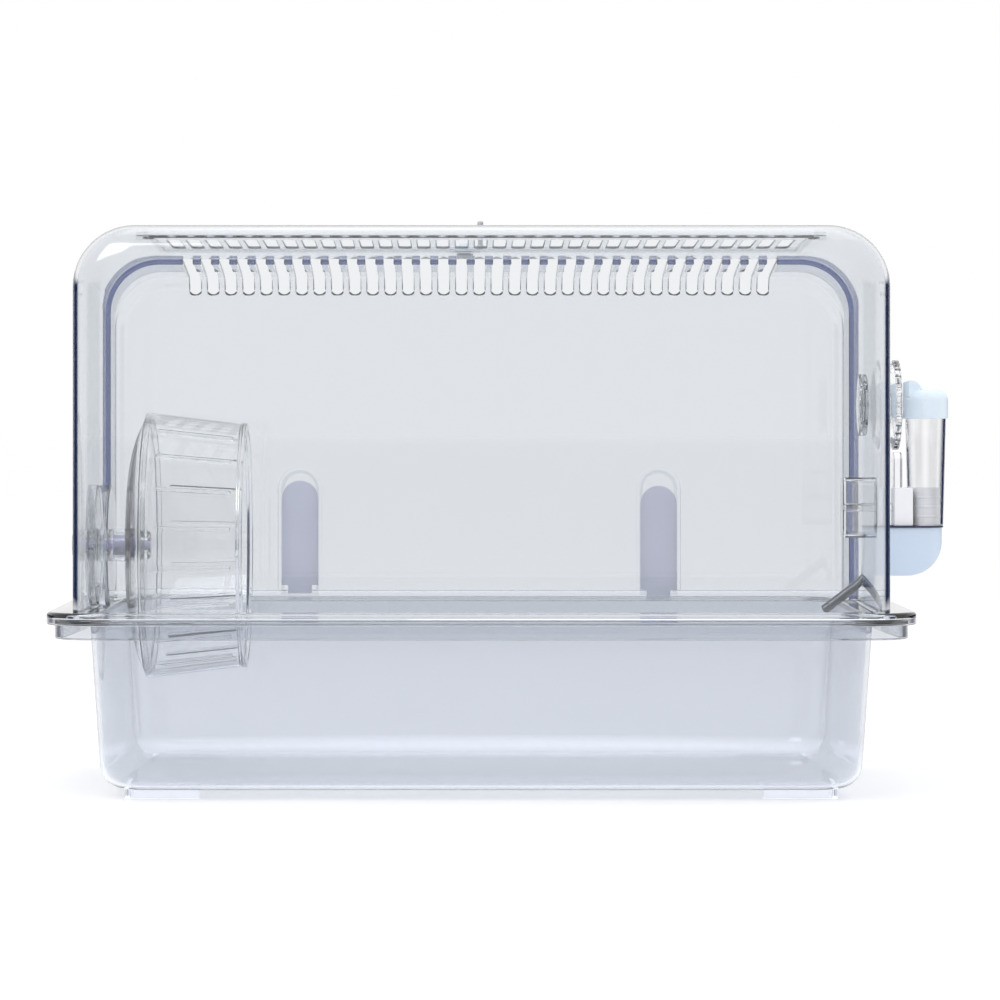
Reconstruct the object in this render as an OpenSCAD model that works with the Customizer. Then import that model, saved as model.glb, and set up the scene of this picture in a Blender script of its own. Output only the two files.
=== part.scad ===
// Clear pet keeper: a deep tray, a lift-off cover with a roof hatch, a running
// wheel on the left wall and a water bottle on the right wall.
// Millimetres. X runs left to right, Y from the plain back wall to the slotted
// front wall, Z up. The origin is under the middle of the tray, on the table.

/* [Cover] */
// Outer width of the cover
cover_w = 450; // [420:1:500]
// Outer depth of the cover
cover_d = 300; // [280:1:340]
// Height of the highest line of the roof above the table
roof_top_z = 316.8; // [300:0.1:340]
// Wall thickness of the cover
cover_wall = 2.2; // [1.8:0.1:3]
// Radius of the slow curve by which the roof falls towards the front
roof_bow_r = 2000; // [1600:10:4000]
// Radius of the roof's long edges above the two end walls
eaves_r = 34; // [28:0.5:40]
// Radius of the edge all round the back wall
back_edge_r = 19; // [12:0.5:24]
// Radius of the edge all round the front wall
front_edge_r = 9; // [6:0.5:14]

/* [Flange and rim] */
// How far the cover's flange stands out from its walls
flange_out = 14; // [10:0.5:16]
// Thickness of the flange's flat top
flange_t = 3; // [2:0.1:4]
// Depth of the lip that the flange turns down
flange_lip_h = 7; // [5:0.5:9]
// Thickness of both turned-down lips
lip_t = 2.5; // [2:0.1:3]
// Corner radius of the flange, seen from above
flange_corner_r = 30; // [24:1:36]
// Gap between the flange's lip and the tray's rim
lip_gap = 2; // [1:0.1:2.5]
// Height of the tray's rim above the table
rim_top_z = 101; // [90:0.5:101.5]
// Thickness of the rim's flat top
rim_t = 2.5; // [2:0.1:3.5]
// Depth of the lip that the rim turns down
rim_lip_h = 11.5; // [9:0.5:14]
// Gap by which the flange clears the rim under it
seat_gap = 0.3; // [0.2:0.05:0.5]
// Width of the small locating nubs on both long rims
nub_w = 4.5; // [3:0.5:6]
// Distance from one nub to the next
nub_pitch = 135; // [100:1:150]

/* [Tray] */
// Step from the cover's outer face in to the tray's outer face
tray_step = 8; // [6:0.5:10]
// How far each wall of the tray leans in from its rim to its floor
tray_lean = 6; // [3:0.5:9]
// Wall thickness of the tray
tray_wall = 2.5; // [2:0.1:3.2]
// Radius between the tray's walls and its floor
tray_bottom_r = 13; // [8:0.5:18]
// Corner radius of the tray, seen from above
tray_corner_r = 27; // [22:1:34]
// Height of the four moulded feet
foot_h = 5; // [4:0.5:8]
// Length of a foot's rib along X
foot_x_len = 41; // [30:1:50]
// Length of a foot's rib along Y
foot_y_len = 30; // [20:1:40]
// Thickness of a foot's ribs
foot_t = 2.5; // [2:0.1:4]
// Distance of the feet from the tray's end walls at the floor
foot_inset = 14; // [14:0.5:24]

/* [Air slots] */
// Distance from one air slot to the next
slot_pitch = 10.87; // [9:0.01:14]
// Width of an air slot
slot_w = 6.6; // [5:0.1:7.5]
// Plain strip left at each end of a row
slot_margin = 8; // [6:0.5:14]
// Length of the slots in the hatch
hatch_slot_l = 67; // [40:1:75]
// Distance of the hatch's slots from its hinge
hatch_slot_start = 30; // [20:1:32]
// Where the front slots start, back from the front wall
front_slot_run = 83; // [50:1:86]
// How far the front slots reach down below the roof's front edge
front_slot_drop = 12; // [8:0.5:20]

/* [Roof hatch] */
// Fixed roof left beside the hatch
hatch_side = 39; // [38:0.5:60]
// Distance from the back wall to the hinge
hinge_from_back = 50; // [40:1:60]
// Length of the hatch from its hinge to its lip
hatch_l = 108; // [105:1:115]
// Gap round the hatch
hatch_gap = 0.4; // [0.3:0.05:0.6]
// Room behind the hinge for the open hatch to lean back
hinge_room = 1.2; // [1:0.1:2]
// Radius of the rolled hinge edge
hinge_r = 2; // [1.8:0.1:2.6]
// Radius of the hinge pins
pin_r = 1; // [0.8:0.05:1.2]
// Length of each hinge pin
pin_l = 5; // [4:0.5:5.5]
// Running clearance of the pins in their ears
pin_gap = 0.06; // [0.03:0.01:0.1]
// Width of the ledge under the closed hatch
ledge_w = 3; // [2:0.5:4]
// Thickness of that ledge
ledge_t = 1.6; // [1.2:0.1:2.2]
// Height of the pull knob above the hatch
knob_h = 11.7; // [6:0.1:14]
// Radius of the pull knob's stem
knob_r = 1.4; // [1:0.1:1.6]
// Distance from the hatch's lip to the pull knob
knob_back = 8; // [7.6:0.1:8.2]

/* [Latch] */
// Distance of the latch from the cover's middle line
latch_x = -9; // [-20:1:-9]
// Width of the latch's cross bar
bar_w = 18; // [14:0.5:22]
// Length of the cross bar, front to back
bar_l = 20; // [16:0.5:24]
// Thickness of the cross bar
bar_t = 2; // [1.5:0.1:3]
// Width of the thumb grip on the cross bar
grip_w = 7; // [5:0.5:10]
// Height of the thumb grip above the cross bar
grip_h = 2; // [1:0.1:3]
// Width of the latch's tongue
tongue_w = 7.3; // [6:0.1:9]
// Length of the tongue
tongue_l = 22; // [18:0.5:24]
// How far the latch slides
latch_travel = 6; // [4:0.5:7]
// Clearance round the latch
latch_gap = 0.3; // [0.2:0.05:0.4]

/* [Slide clips] */
// Distance of each clip from the middle
clip_x = 110; // [80:1:140]
// Width of a clip
clip_w = 22.5; // [18:0.5:26]
// Length of a clip without its tongue
clip_l = 64; // [50:1:70]
// Thickness of a clip's edge flange
clip_edge_t = 1.6; // [1.2:0.1:2]
// Thickness of a clip's body
clip_t = 4; // [3.5:0.1:5]
// Width of the edge flange that runs in the channel
clip_edge_w = 2; // [1.5:0.1:2.5]
// Width of a clip's tongue
clip_tongue_w = 14.5; // [10:0.5:16]
// Length of a clip's tongue
clip_tongue_l = 5.2; // [4:0.1:5.6]
// How far the left clip is raised
clip_raise = 3.1; // [0:0.1:5]
// Height that the channel leaves above a lowered clip
clip_travel = 9.4; // [6:0.1:12]
// Width of the channel's walls
channel_t = 2; // [1.5:0.1:3]
// Clearance round the clips
clip_gap = 0.3; // [0.2:0.05:0.4]

/* [Running wheel] */
// Height of the wheel's axis
wheel_z = 136.7; // [134:0.1:150]
// Outer radius of the wheel at its back rim
wheel_r = 76.85; // [60:0.05:84]
// Outer radius of the wheel's front ring
wheel_front_r = 70.75; // [56:0.05:71]
// Distance from the wall end of the wheel's hub to its back rim
rim_set = 21; // [18:0.5:23]
// Depth of the wheel from its back rim to its front ring
wheel_depth = 58; // [45:0.5:70]
// Wall thickness of the wheel
wheel_wall = 1.8; // [1.4:0.1:2.2]
// How far the wheel's back domes out
back_dome = 13; // [8:0.5:14]
// Number of running rungs
rung_count = 20; // [12:1:24]
// Width of a rung
rung_w = 2.2; // [1.5:0.1:3]
// Height of a rung above the running face
rung_h = 1.2; // [0.8:0.1:2]
// Radius of the wall disc that carries the wheel
disc_r = 35; // [26:0.5:35]
// Depth of the wall disc
disc_t = 9; // [7:0.5:10]
// Radius of the axle
axle_r = 5.85; // [5:0.05:6.5]
// Outer radius of the wheel's hub
hub_r = 9.5; // [9:0.1:11]
// Length of the wheel's hub
hub_l = 14.6; // [12:0.1:18]
// Radius of the threaded stem through the wall
stem_r = 5.5; // [4:0.1:6]
// Radius of the nut outside the wall
nut_r = 8.5; // [7.5:0.1:12]
// Length of the nut
nut_l = 11; // [8:0.5:12]
// Running clearance on the axle
axle_gap = 0.05; // [0.03:0.01:0.1]
// End play on each side of the wheel's hub
end_play = 0.5; // [0.3:0.05:1]

/* [Bottle hanger] */
// Height of the hanger's axis above the bottle's foot
hanger_rise = 69.6; // [69:0.1:80]
// Radius of the hub through the wall
hanger_r = 10; // [8:0.1:12]
// Radius of the locking ring inside the wall
ring_r = 18; // [15:0.5:22]
// Radius of the twist disc
twist_r = 26; // [22:0.5:26.5]
// Width of the twist disc's rim
twist_rim = 3.5; // [3:0.1:5]
// Distance from the wall to the front of the twist disc
twist_out = 17.3; // [15:0.1:17.8]
// Number of grip notches round the twist disc
notch_count = 28; // [16:1:36]

/* [Water bottle] */
// Distance from the wall to the bottle's axis
bottle_out = 33.2; // [32.8:0.1:36]
// Outer radius of the bottle at its foot
bottle_foot_r = 10.2; // [9:0.1:10.6]
// Outer radius of the bottle at its mouth
bottle_top_r = 12; // [11:0.1:12.4]
// Wall thickness of the bottle
bottle_wall = 1.3; // [1:0.1:1.6]
// Height of the bottle's foot above the table
bottle_foot_z = 148.3; // [148.3:0.1:160]
// Length of the clear bottle
bottle_l = 67.7; // [56:0.1:67.7]
// How far the top cap reaches down over the bottle
cap_lap = 6; // [4:0.5:8]
// Radius of the bottle's top cap
cap_r = 13.1; // [12.9:0.1:13.2]
// Height of the top cap
cap_h = 16.8; // [14:0.1:20]
// Height of the hump on the top cap
hump_h = 5.2; // [3:0.1:7]
// Width of the hump on the top cap
hump_w = 16; // [10:0.5:20]
// Depth of the drinking base below the bottle
base_h = 27.7; // [25:0.1:29]
// Radius of the base's rounded front
base_round_r = 21.6; // [16:0.1:22]
// Half the width of the base
base_half_w = 12.4; // [11:0.1:14]
// Depth of the drinking chamber below the gasket
chamber_h = 18; // [14:0.5:20]
// Thickness of the dark gasket on the base
gasket_t = 1; // [0.6:0.1:1.1]
// Height of the screw collar above the gasket
collar_h = 22; // [14:0.5:24]
// Thickness of the screw collar
collar_t = 1.6; // [1.2:0.1:2.2]
// Distance from the wall to the back of the cradle
cradle_out = 14.2; // [13:0.1:15]
// Height of the cradle behind the bottle
cradle_h = 22; // [16:0.5:24]
// Height of the clear plate above the cradle
plate_h = 20.5; // [10:0.5:20.5]
// Width of the clear plate
plate_w = 16; // [12:0.5:20]

/* [Drinking nozzle] */
// Slope of the nozzle below the horizontal, in degrees
nozzle_slope = 37; // [30:1:40]
// Height at which the nozzle crosses the wall
nozzle_wall_z = 118.5; // [117:0.1:122]
// Length of the nozzle inside the cover, from the wall's outer face
nozzle_in = 32.5; // [24:0.5:36]
// Length of the nozzle outside the cover
nozzle_back = 33; // [30:0.5:35]
// Outer radius of the nozzle
nozzle_r = 2.75; // [2.5:0.05:3.2]
// Bore radius of the nozzle
nozzle_bore_r = 2; // [1.8:0.05:2.2]
// Radius of the steel ball in the nozzle
ball_r = 1.9; // [1.6:0.05:1.9]
// Height of the clear clamp housing inside the wall
clamp_h = 35; // [26:0.5:40]
// Depth of the clamp housing
clamp_t = 13; // [9:0.5:15]
// Half the width of the clamp housing
clamp_half_w = 9; // [7:0.5:11]

/* [Hidden] */

fit_gap = 0.3;          // between pieces that must not rub
press_gap = 0.05;       // between pieces pushed together for good
arc_steps = 6;          // flats in a quarter turn of a moulded edge
roof_steps = 8;         // flats along the roof's slow curve
cut = 1;                // how far a cutting shape runs past a face

clear_tint = [0.86, 0.9, 0.96, 0.4];
white_tint = [0.93, 0.94, 0.96, 0.8];
ice_blue = [0.8, 0.86, 0.92];

// Where the cover's faces are
side_x = cover_w / 2;
side_in_x = side_x - cover_wall;
back_y = -cover_d / 2;
front_y = cover_d / 2;
roof_start_y = back_y + back_edge_r;
flange_z = rim_top_z + seat_gap;
flange_top_z = flange_z + flange_t;
flange_hx = side_x + flange_out;
flange_hy = front_y + flange_out;
rim_hx = flange_hx - lip_t - lip_gap;
rim_hy = flange_hy - lip_t - lip_gap;
rim_corner_r = flange_corner_r - lip_t - lip_gap;
tray_hx = side_x - tray_step;
tray_hy = front_y - tray_step;

// Height of the roof's outer face at a given Y
function roof(y) = roof_top_z - pow(y - roof_start_y, 2) / (2 * roof_bow_r);

// One end-to-end outline of the cover at Y, moved in by skin and by an edge inset
function cover_ring(y, skin, edge, foot_z) =
    let(w = side_x - skin - edge, top = roof(y) - skin - edge, r = eaves_r - skin - edge)
    concat([[-w, y, foot_z]],
        [for (i = [0:arc_steps]) let(a = 180 - 90 * i / arc_steps)
            [-w + r + r * cos(a), y, top - r + r * sin(a)]],
        [for (i = [0:arc_steps]) let(a = 90 - 90 * i / arc_steps)
            [w - r + r * cos(a), y, top - r + r * sin(a)]],
        [[w, y, foot_z]]);

// All outlines of the cover from its back wall to its front wall
function cover_rings(skin, foot_z) =
    let(rb = back_edge_r - skin, rf = front_edge_r - skin,
        y0 = roof_start_y, y1 = front_y - front_edge_r)
    concat(
        [for (i = [0:arc_steps]) let(a = 90 * i / arc_steps)
            cover_ring(y0 - rb * cos(a), skin, rb * (1 - sin(a)), foot_z)],
        [for (i = [1:roof_steps - 1])
            cover_ring(y0 + (y1 - y0) * i / roof_steps, skin, 0, foot_z)],
        [for (i = [arc_steps:-2:0]) let(a = 90 * i / arc_steps)
            cover_ring(y1 + rf * cos(a), skin, rf * (1 - sin(a)), foot_z)]);

// A rounded rectangle of half sizes hx and hy, as points at height z
function round_rect(hx, hy, r, z) =
    [for (q = [0:3]) for (i = [0:arc_steps])
        let(a = 90 * (q + i / arc_steps),
            sx = (q == 0 || q == 3) ? 1 : -1, sy = q < 2 ? 1 : -1)
        [sx * (hx - r) + r * cos(a), sy * (hy - r) + r * sin(a), z]];

// All outlines of the tray from its floor to a top height, moved in by skin
function tray_rings(skin, top_z) =
    let(r = tray_bottom_r - skin, floor_z = foot_h + skin)
    concat(
        [for (i = [0:arc_steps]) let(a = 90 * i / arc_steps, z = floor_z + r * (1 - cos(a)))
            tray_ring(skin + r * (1 - sin(a)), z)],
        [tray_ring(skin, top_z)]);

function tray_ring(edge, z) =
    let(lean = tray_lean * (rim_top_z - z) / (rim_top_z - foot_h))
    round_rect(tray_hx - lean - edge, tray_hy - lean - edge, tray_corner_r - edge, z);

// A closed solid through a list of outlines with equal numbers of points
module loft(rings) {
    n = len(rings[0]);
    last = len(rings) - 1;
    polyhedron(points = [for (ring = rings) each ring],
        faces = concat([[for (i = [0:n - 1]) i]],
            [[for (i = [n - 1:-1:0]) last * n + i]],
            [for (j = [0:last - 1]) for (i = [0:n - 1])
                [j * n + i, (j + 1) * n + i, (j + 1) * n + (i + 1) % n, j * n + (i + 1) % n]]));
}

// A flat outline in Y and Z, carried along X
module along_x(x0, x1) {
    translate([x0, 0, 0]) rotate([90, 0, 90]) linear_extrude(x1 - x0) children();
}

// A flat outline in X and Z, carried along Y
module along_y(y0, y1) {
    translate([0, y1, 0]) rotate([90, 0, 0]) linear_extrude(y1 - y0) children();
}

// A profile of [radius, X] points turned about the X axis at height z
module turn_x(z, points, steps = 96) {
    translate([0, 0, z]) rotate([0, 90, 0]) rotate_extrude($fn = steps) polygon(points);
}

// A round bar along X at height z
module rod_x(x0, x1, z, r, steps = 48) {
    translate([x0, 0, z]) rotate([0, 90, 0]) cylinder(h = x1 - x0, r = r, $fn = steps);
}

// The same shape on the right and, mirrored, on the left
module both_sides() {
    children();
    mirror([1, 0, 0]) children();
}

// A box from its low corner to its high corner
module block(low, high) {
    translate(low) cube(high - low);
}

// A flat plate with rounded corners from z0 to z1
module rounded_plate(hx, hy, r, z0, z1) {
    translate([0, 0, z0]) linear_extrude(z1 - z0) round_outline(hx, hy, r);
}

// An exact rounded rectangle, seen from above
module round_outline(hx, hy, r) {
    square([2 * hx, 2 * (hy - r)], center = true);
    square([2 * (hx - r), 2 * hy], center = true);
    for (sx = [-1, 1], sy = [-1, 1])
        translate([sx * (hx - r), sy * (hy - r)]) circle(r = r, $fn = 48);
}

// A slot outline of width w from y0 to y1 with round ends
module slot_outline(w, y0, y1) {
    translate([-w / 2, y0 + w / 2]) square([w, y1 - y0 - w]);
    translate([0, y0 + w / 2]) circle(d = w, $fn = 24);
    translate([0, y1 - w / 2]) circle(d = w, $fn = 24);
}

// A strip of roof between two depths below its outer face
module roof_strip(x0, x1, y0, y1, from_top, to_depth) {
    steps = 6;
    ys = [for (i = [0:steps]) y0 + (y1 - y0) * i / steps];
    along_x(x0, x1)
        polygon(concat([for (y = ys) [y, roof(y) - from_top]],
            [for (i = [steps:-1:0]) [ys[i], roof(ys[i]) - to_depth]]));
}

// Part: the tray

foot_x = tray_hx - tray_lean - foot_inset;
foot_y = tray_hy - tray_lean - foot_inset - 2;

module base_tray() {
    color(clear_tint) {
        difference() {
            union() {
                loft(tray_rings(0, rim_top_z));
                rounded_plate(rim_hx, rim_hy, rim_corner_r, rim_top_z - rim_t, rim_top_z);
                rim_lip(rim_top_z - rim_lip_h);
                for (mx = [0, 1], my = [0, 1]) mirror([mx, 0, 0]) mirror([0, my, 0]) foot_rib();
                for (i = [-1:1], sy = [-1, 1]) rim_nub(i * nub_pitch, sy);
            }
            loft(tray_rings(tray_wall, rim_top_z + cut));
            for (sx = [-1, 1]) clip_slot(sx * clip_x, rim_top_z - rim_t);
        }
    }
}

// The rim's lip, turned down all round
module rim_lip(z0) {
    translate([0, 0, z0]) linear_extrude(rim_top_z - z0) difference() {
        round_outline(rim_hx, rim_hy, rim_corner_r);
        round_outline(rim_hx - lip_t, rim_hy - lip_t, rim_corner_r - lip_t);
    }
}

// One L-shaped foot, moulded under a corner of the floor
module foot_rib() {
    top = foot_h + tray_wall / 2;
    block([foot_x - foot_x_len, foot_y - foot_t, 0], [foot_x, foot_y, top]);
    block([foot_x - foot_t, foot_y - foot_y_len, 0], [foot_x, foot_y, top]);
}

// A small nub on the outside of a long rim
module rim_nub(x, sy) {
    nub_h = 2;
    nub_out = 0.7;
    z = rim_top_z - rim_lip_h / 2;
    y = sy * (rim_hy - cut / 2);
    translate([x, y, z]) cube([nub_w, cut + 2 * nub_out, nub_h], center = true);
}

// Room for a clip's tongue, cut through a plate from z0 up
module clip_slot(x, z0) {
    hx = clip_tongue_w / 2 + clip_gap;
    block([x - hx, clip_back_y, z0 - cut],
        [x + hx, clip_back_y + clip_tongue_t + 2 * clip_gap, flange_top_z + cut]);
}

// Part: the cover

hinge_y = back_y + hinge_from_back;
hinge_z = roof(hinge_y) - hinge_r;
lip_y = hinge_y + hatch_l;
hatch_hx = side_x - hatch_side - hatch_gap;
opening_hx = side_x - hatch_side;
slot_count = floor((2 * opening_hx - 2 * slot_margin + slot_pitch - slot_w) / slot_pitch);
front_slot_y = front_y - front_slot_run;
front_slot_z = roof(front_y) - front_slot_drop;
clip_back_y = front_y;
clip_tongue_t = 2.8;
clip_low_z = flange_top_z + clip_gap;
channel_z = clip_low_z + clip_l + clip_travel + clip_gap / 2;

module dome_cover() {
    color(clear_tint) difference() {
        union() {
            difference() {
                union() {
                    loft(cover_rings(0, flange_z));
                    rounded_plate(flange_hx, flange_hy, flange_corner_r, flange_z, flange_top_z);
                    flange_lip();
                }
                loft(cover_rings(cover_wall, flange_z - cut));
                block([-opening_hx, hinge_y - hinge_r - hinge_room, hinge_z - 4 * hinge_r],
                    [opening_hx, lip_y + hatch_gap, roof_top_z + cut]);
            }
            hatch_ledge();
            both_sides() hinge_ear();
            for (sx = [-1, 1]) clip_channel(sx * clip_x);
        }
        front_slots();
        latch_place() latch_slot();
        for (sx = [-1, 1]) clip_slot(sx * clip_x, flange_z);
        rod_x(-side_x - cut, -side_in_x + cut, wheel_z, stem_r + fit_gap);
        rod_x(side_in_x - cut, side_x + cut, hanger_z, hanger_r + fit_gap);
        rod_x(side_in_x - cut, side_x + cut, nozzle_wall_z, spigot_r + fit_gap);
        rod_x(side_in_x - cut, side_x + cut, clamp_z, clamp_peg_r + fit_gap);
        both_sides() hinge_bore();
    }
}

// The flange's lip, turned down round the tray's rim
module flange_lip() {
    translate([0, 0, flange_top_z - flange_lip_h]) linear_extrude(flange_lip_h) difference() {
        round_outline(flange_hx, flange_hy, flange_corner_r);
        round_outline(flange_hx - lip_t, flange_hy - lip_t, flange_corner_r - lip_t);
    }
}

// The step that the closed hatch rests on, along its lip and its two sides
module hatch_ledge() {
    top = cover_wall + fit_gap;
    bottom = top + ledge_t;
    root = cover_wall / 2;
    out = lip_y + hatch_gap + ledge_w;
    roof_strip(-opening_hx, opening_hx, lip_y - ledge_w, out, top, bottom);
    roof_strip(-opening_hx, opening_hx, lip_y + hatch_gap, out, root, bottom);
    both_sides() {
        x_out = opening_hx + ledge_w;
        roof_strip(opening_hx - ledge_w, x_out, hinge_y + 4 * hinge_r, out, top, bottom);
        roof_strip(opening_hx, x_out, hinge_y + 4 * hinge_r, out, root, bottom);
    }
}

// An ear under the roof that holds one hinge pin
module hinge_ear() {
    wide = 2 * hinge_r;
    block([opening_hx, hinge_y - wide, hinge_z - 1.6 * hinge_r],
        [opening_hx + pin_l + hinge_r / 2, hinge_y + wide, hinge_z + hinge_r / 2]);
}

module hinge_bore() {
    x0 = opening_hx - cut;
    x1 = opening_hx + pin_l;
    translate([x0, hinge_y, hinge_z]) rotate([0, 90, 0])
        cylinder(h = x1 - x0, r = pin_r + pin_gap, $fn = 32);
}

// Slots that start on the roof, turn over its front edge and end in the front wall
module front_slots() {
    first = -(slot_count - 1) * slot_pitch / 2;
    r = slot_w / 2;
    translate([0, 0, front_slot_z + r]) linear_extrude(roof_top_z - front_slot_z)
        for (i = [0:slot_count - 1]) translate([first + i * slot_pitch, 0])
            slot_outline(slot_w, front_slot_y, front_y + slot_w);
    along_y(front_y - cover_wall - cut, front_y + cut)
        for (i = [0:slot_count - 1]) translate([first + i * slot_pitch, front_slot_z + r])
            circle(r = r, $fn = 24);
}

// The guide channel of one clip, with lips that hold the clip's edges
module clip_channel(x) {
    back = clip_w / 2 + clip_gap;
    lip = clip_w / 2 - clip_edge_w + clip_gap;
    out = back + channel_t;
    lip_in_y = clip_back_y + clip_gap + clip_edge_t + clip_gap;
    along_y(clip_back_y - cover_wall / 2, lip_in_y) channel_outline(x, out, back, out - back);
    along_y(lip_in_y, lip_in_y + channel_t) channel_outline(x, out, lip, out - back);
}

// An arch of outer half width out and inner half width in, standing on the flange
module channel_outline(x, out, in, over) {
    foot_z = flange_top_z - cut / 2;
    top_z = channel_z + over;
    translate([x, 0]) difference() {
        arch(out, foot_z, top_z);
        arch(in, foot_z - cut, top_z - (out - in));
    }
}

// A plate outline with a round top, half width w, from z0 to z1
module arch(w, z0, z1) {
    translate([-w, z0]) square([2 * w, z1 - w - z0]);
    translate([0, z1 - w]) circle(r = w, $fn = 48);
}

// Part: hatch and latch

module roof_hatch() {
    first = -(slot_count - 1) * slot_pitch / 2;
    slot_y = hinge_y + hatch_slot_start;
    color(clear_tint) difference() {
        union() {
            roof_strip(-hatch_hx, hatch_hx, hinge_y, lip_y, 0, cover_wall);
            translate([-hatch_hx, hinge_y, hinge_z]) rotate([0, 90, 0])
                cylinder(h = 2 * hatch_hx, r = hinge_r, $fn = 32);
            translate([-hatch_hx - pin_l + hatch_gap, hinge_y, hinge_z]) rotate([0, 90, 0])
                cylinder(h = 2 * (hatch_hx + pin_l - hatch_gap), r = pin_r, $fn = 32);
        }
        translate([0, 0, hinge_z - 6 * hinge_r]) linear_extrude(12 * hinge_r)
            for (i = [0:slot_count - 1]) translate([first + i * slot_pitch, 0])
                slot_outline(slot_w, slot_y, slot_y + hatch_slot_l);
        translate([0, knob_y, roof(knob_y) - cover_wall - cut])
            cylinder(h = cover_wall + 2 * cut, r = knob_peg_r + press_gap, $fn = 24);
    }
}

knob_y = lip_y - knob_back;
knob_peg_r = 1;

module hatch_knob() {
    foot_r = 1.5 * knob_r;
    head_r = 1.25 * knob_r;
    seat = 0.2;
    color([0.72, 0.73, 0.75]) translate([0, knob_y, roof(knob_y) + seat])
        rotate_extrude($fn = 32) polygon([[0, -cover_wall - seat], [knob_peg_r, -cover_wall - seat],
            [knob_peg_r, 0], [foot_r, 0], [foot_r, 0.5], [knob_r, 1.6], [knob_r, knob_h - 3],
            [head_r, knob_h - 2], [head_r, knob_h - 0.8], [knob_r, knob_h], [0, knob_h]]);
}

latch_y = lip_y + 2 + bar_l / 2;
latch_slope = atan((latch_y - roof_start_y) / roof_bow_r);

// The latch's own frame: origin on the roof under the bar's middle, Y down the slope
module latch_place() {
    translate([latch_x, latch_y, roof(latch_y)]) rotate([-latch_slope, 0, 0]) children();
}

module latch_slot() {
    hx = tongue_w / 2 + latch_gap;
    block([-hx, bar_l / 2 - latch_travel - latch_gap, -cover_wall - cut],
        [hx, bar_l / 2 + tongue_l + latch_gap, cut]);
}

module latch_bar() {
    color([0.8, 0.85, 0.9]) latch_place() {
        difference() {
            translate([0, 0, latch_gap]) linear_extrude(bar_t)
                round_outline(bar_w / 2, bar_l / 2, 2);
            latch_tenon(press_gap);
        }
        for (i = [0:2]) translate([0, i * 4, latch_gap + bar_t]) cube([bar_w - 5, 1.2, 1.2], center = true);
        thumb_grip();
    }
}

// The raised block that a thumb pushes
module thumb_grip() {
    grip_l = 5;
    y = 1.5 - bar_l / 2;
    block([-grip_w / 2, y, latch_gap + bar_t / 2], [grip_w / 2, y + grip_l, latch_gap + bar_t + grip_h]);
}

// The flat tenon by which the tongue holds the bar
module latch_tenon(grow) {
    z = latch_gap + bar_t / 2;
    block([-2 - grow, bar_l / 2 - 4 - grow, z - bar_t / 4 - grow],
        [2 + grow, bar_l / 2 + cut, z + bar_t / 4 + grow]);
}

// The tongue behind the bar: a neck in the roof's slot, and a foot under the roof
module latch_tongue() {
    neck = tongue_w / 2;
    foot = neck + 1.15;
    foot_z = -cover_wall - 0.55;
    y0 = bar_l / 2;
    color([0.66, 0.68, 0.71]) latch_place() {
        block([-neck, y0 + press_gap, foot_z], [neck, y0 + tongue_l, latch_gap + bar_t]);
        block([-foot, y0 + press_gap, foot_z - 0.95], [foot, y0 + tongue_l, foot_z]);
        latch_tenon(0);
    }
}

// Part: slide clips

module slide_clip(x, lift) {
    z0 = clip_low_z + lift;
    y0 = clip_back_y + clip_gap;
    color(white_tint) {
        along_y(y0, y0 + clip_edge_t) translate([x, 0]) arch(clip_w / 2, z0, z0 + clip_l);
        along_y(y0, y0 + clip_t) translate([x, 0])
            arch(clip_w / 2 - clip_edge_w, z0, z0 + clip_l - clip_edge_w);
        block([x - clip_tongue_w / 2, y0, z0 - clip_tongue_l],
            [x + clip_tongue_w / 2, y0 + clip_tongue_t, z0 + cut]);
        for (i = [0:2]) block([x - 6, y0 + clip_t - 0.5, z0 + 38 + 4 * i],
            [x + 6, y0 + clip_t + 0.9, z0 + 39.5 + 4 * i]);
    }
}

module clip_left() { slide_clip(-clip_x, clip_raise); }
module clip_right() { slide_clip(clip_x, 0); }

// Part: running wheel

disc_x0 = -side_in_x + fit_gap;
disc_x1 = disc_x0 + disc_t;
hub_x0 = disc_x1 + end_play + 1;
hub_x1 = hub_x0 + hub_l;
axle_x1 = hub_x1 + end_play;
rim_x = hub_x0 + rim_set;
front_x = rim_x + wheel_depth - 2;
peg_r = 3;
peg_l = 5;

// A shallow cup against the wall, with the threaded stem that goes through it
module wheel_mount_disc() {
    skin = 2.2;
    face = disc_x1 - skin;
    stem_x = -side_x - nut_l + 1.5;
    color(clear_tint) difference() {
        turn_x(wheel_z, [[0, stem_x], [stem_r, stem_x], [stem_r, disc_x0], [hub_r, disc_x0],
            [hub_r, face], [disc_r - skin, face], [disc_r - skin, disc_x0], [disc_r, disc_x0],
            [disc_r, disc_x1 - 1], [disc_r - 1, disc_x1], [hub_r, disc_x1],
            [hub_r, disc_x1 + 1], [0, disc_x1 + 1]]);
        rod_x(disc_x1 + 1 - peg_l - 0.5, disc_x1 + 1 + cut, wheel_z, peg_r + press_gap);
    }
}

// The grip nut outside the wall
module wheel_nut() {
    x1 = -side_x - fit_gap;
    x0 = x1 - nut_l;
    grips = 12;
    color(clear_tint) difference() {
        turn_x(wheel_z, [[0, x0], [nut_r - 1.5, x0], [nut_r, x0 + 1.5], [nut_r, x1],
            [stem_r + 0.08, x1], [stem_r + 0.08, x0 + 1.4], [0, x0 + 1.4]]);
        for (i = [0:grips - 1]) translate([0, 0, wheel_z]) rotate([i * 360 / grips, 0, 0])
            rod_x(x0 - cut, x1 - 2, nut_r + 0.3, 0.9, 16);
    }
}

module wheel_axle() {
    x0 = disc_x1 + 1;
    color([0.66, 0.66, 0.84]) turn_x(wheel_z, [[0, x0 - peg_l], [peg_r, x0 - peg_l], [peg_r, x0],
        [axle_r, x0], [axle_r, axle_x1], [peg_r, axle_x1], [peg_r, axle_x1 + peg_l],
        [0, axle_x1 + peg_l]]);
}

bearing_t = 1.35;

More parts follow.
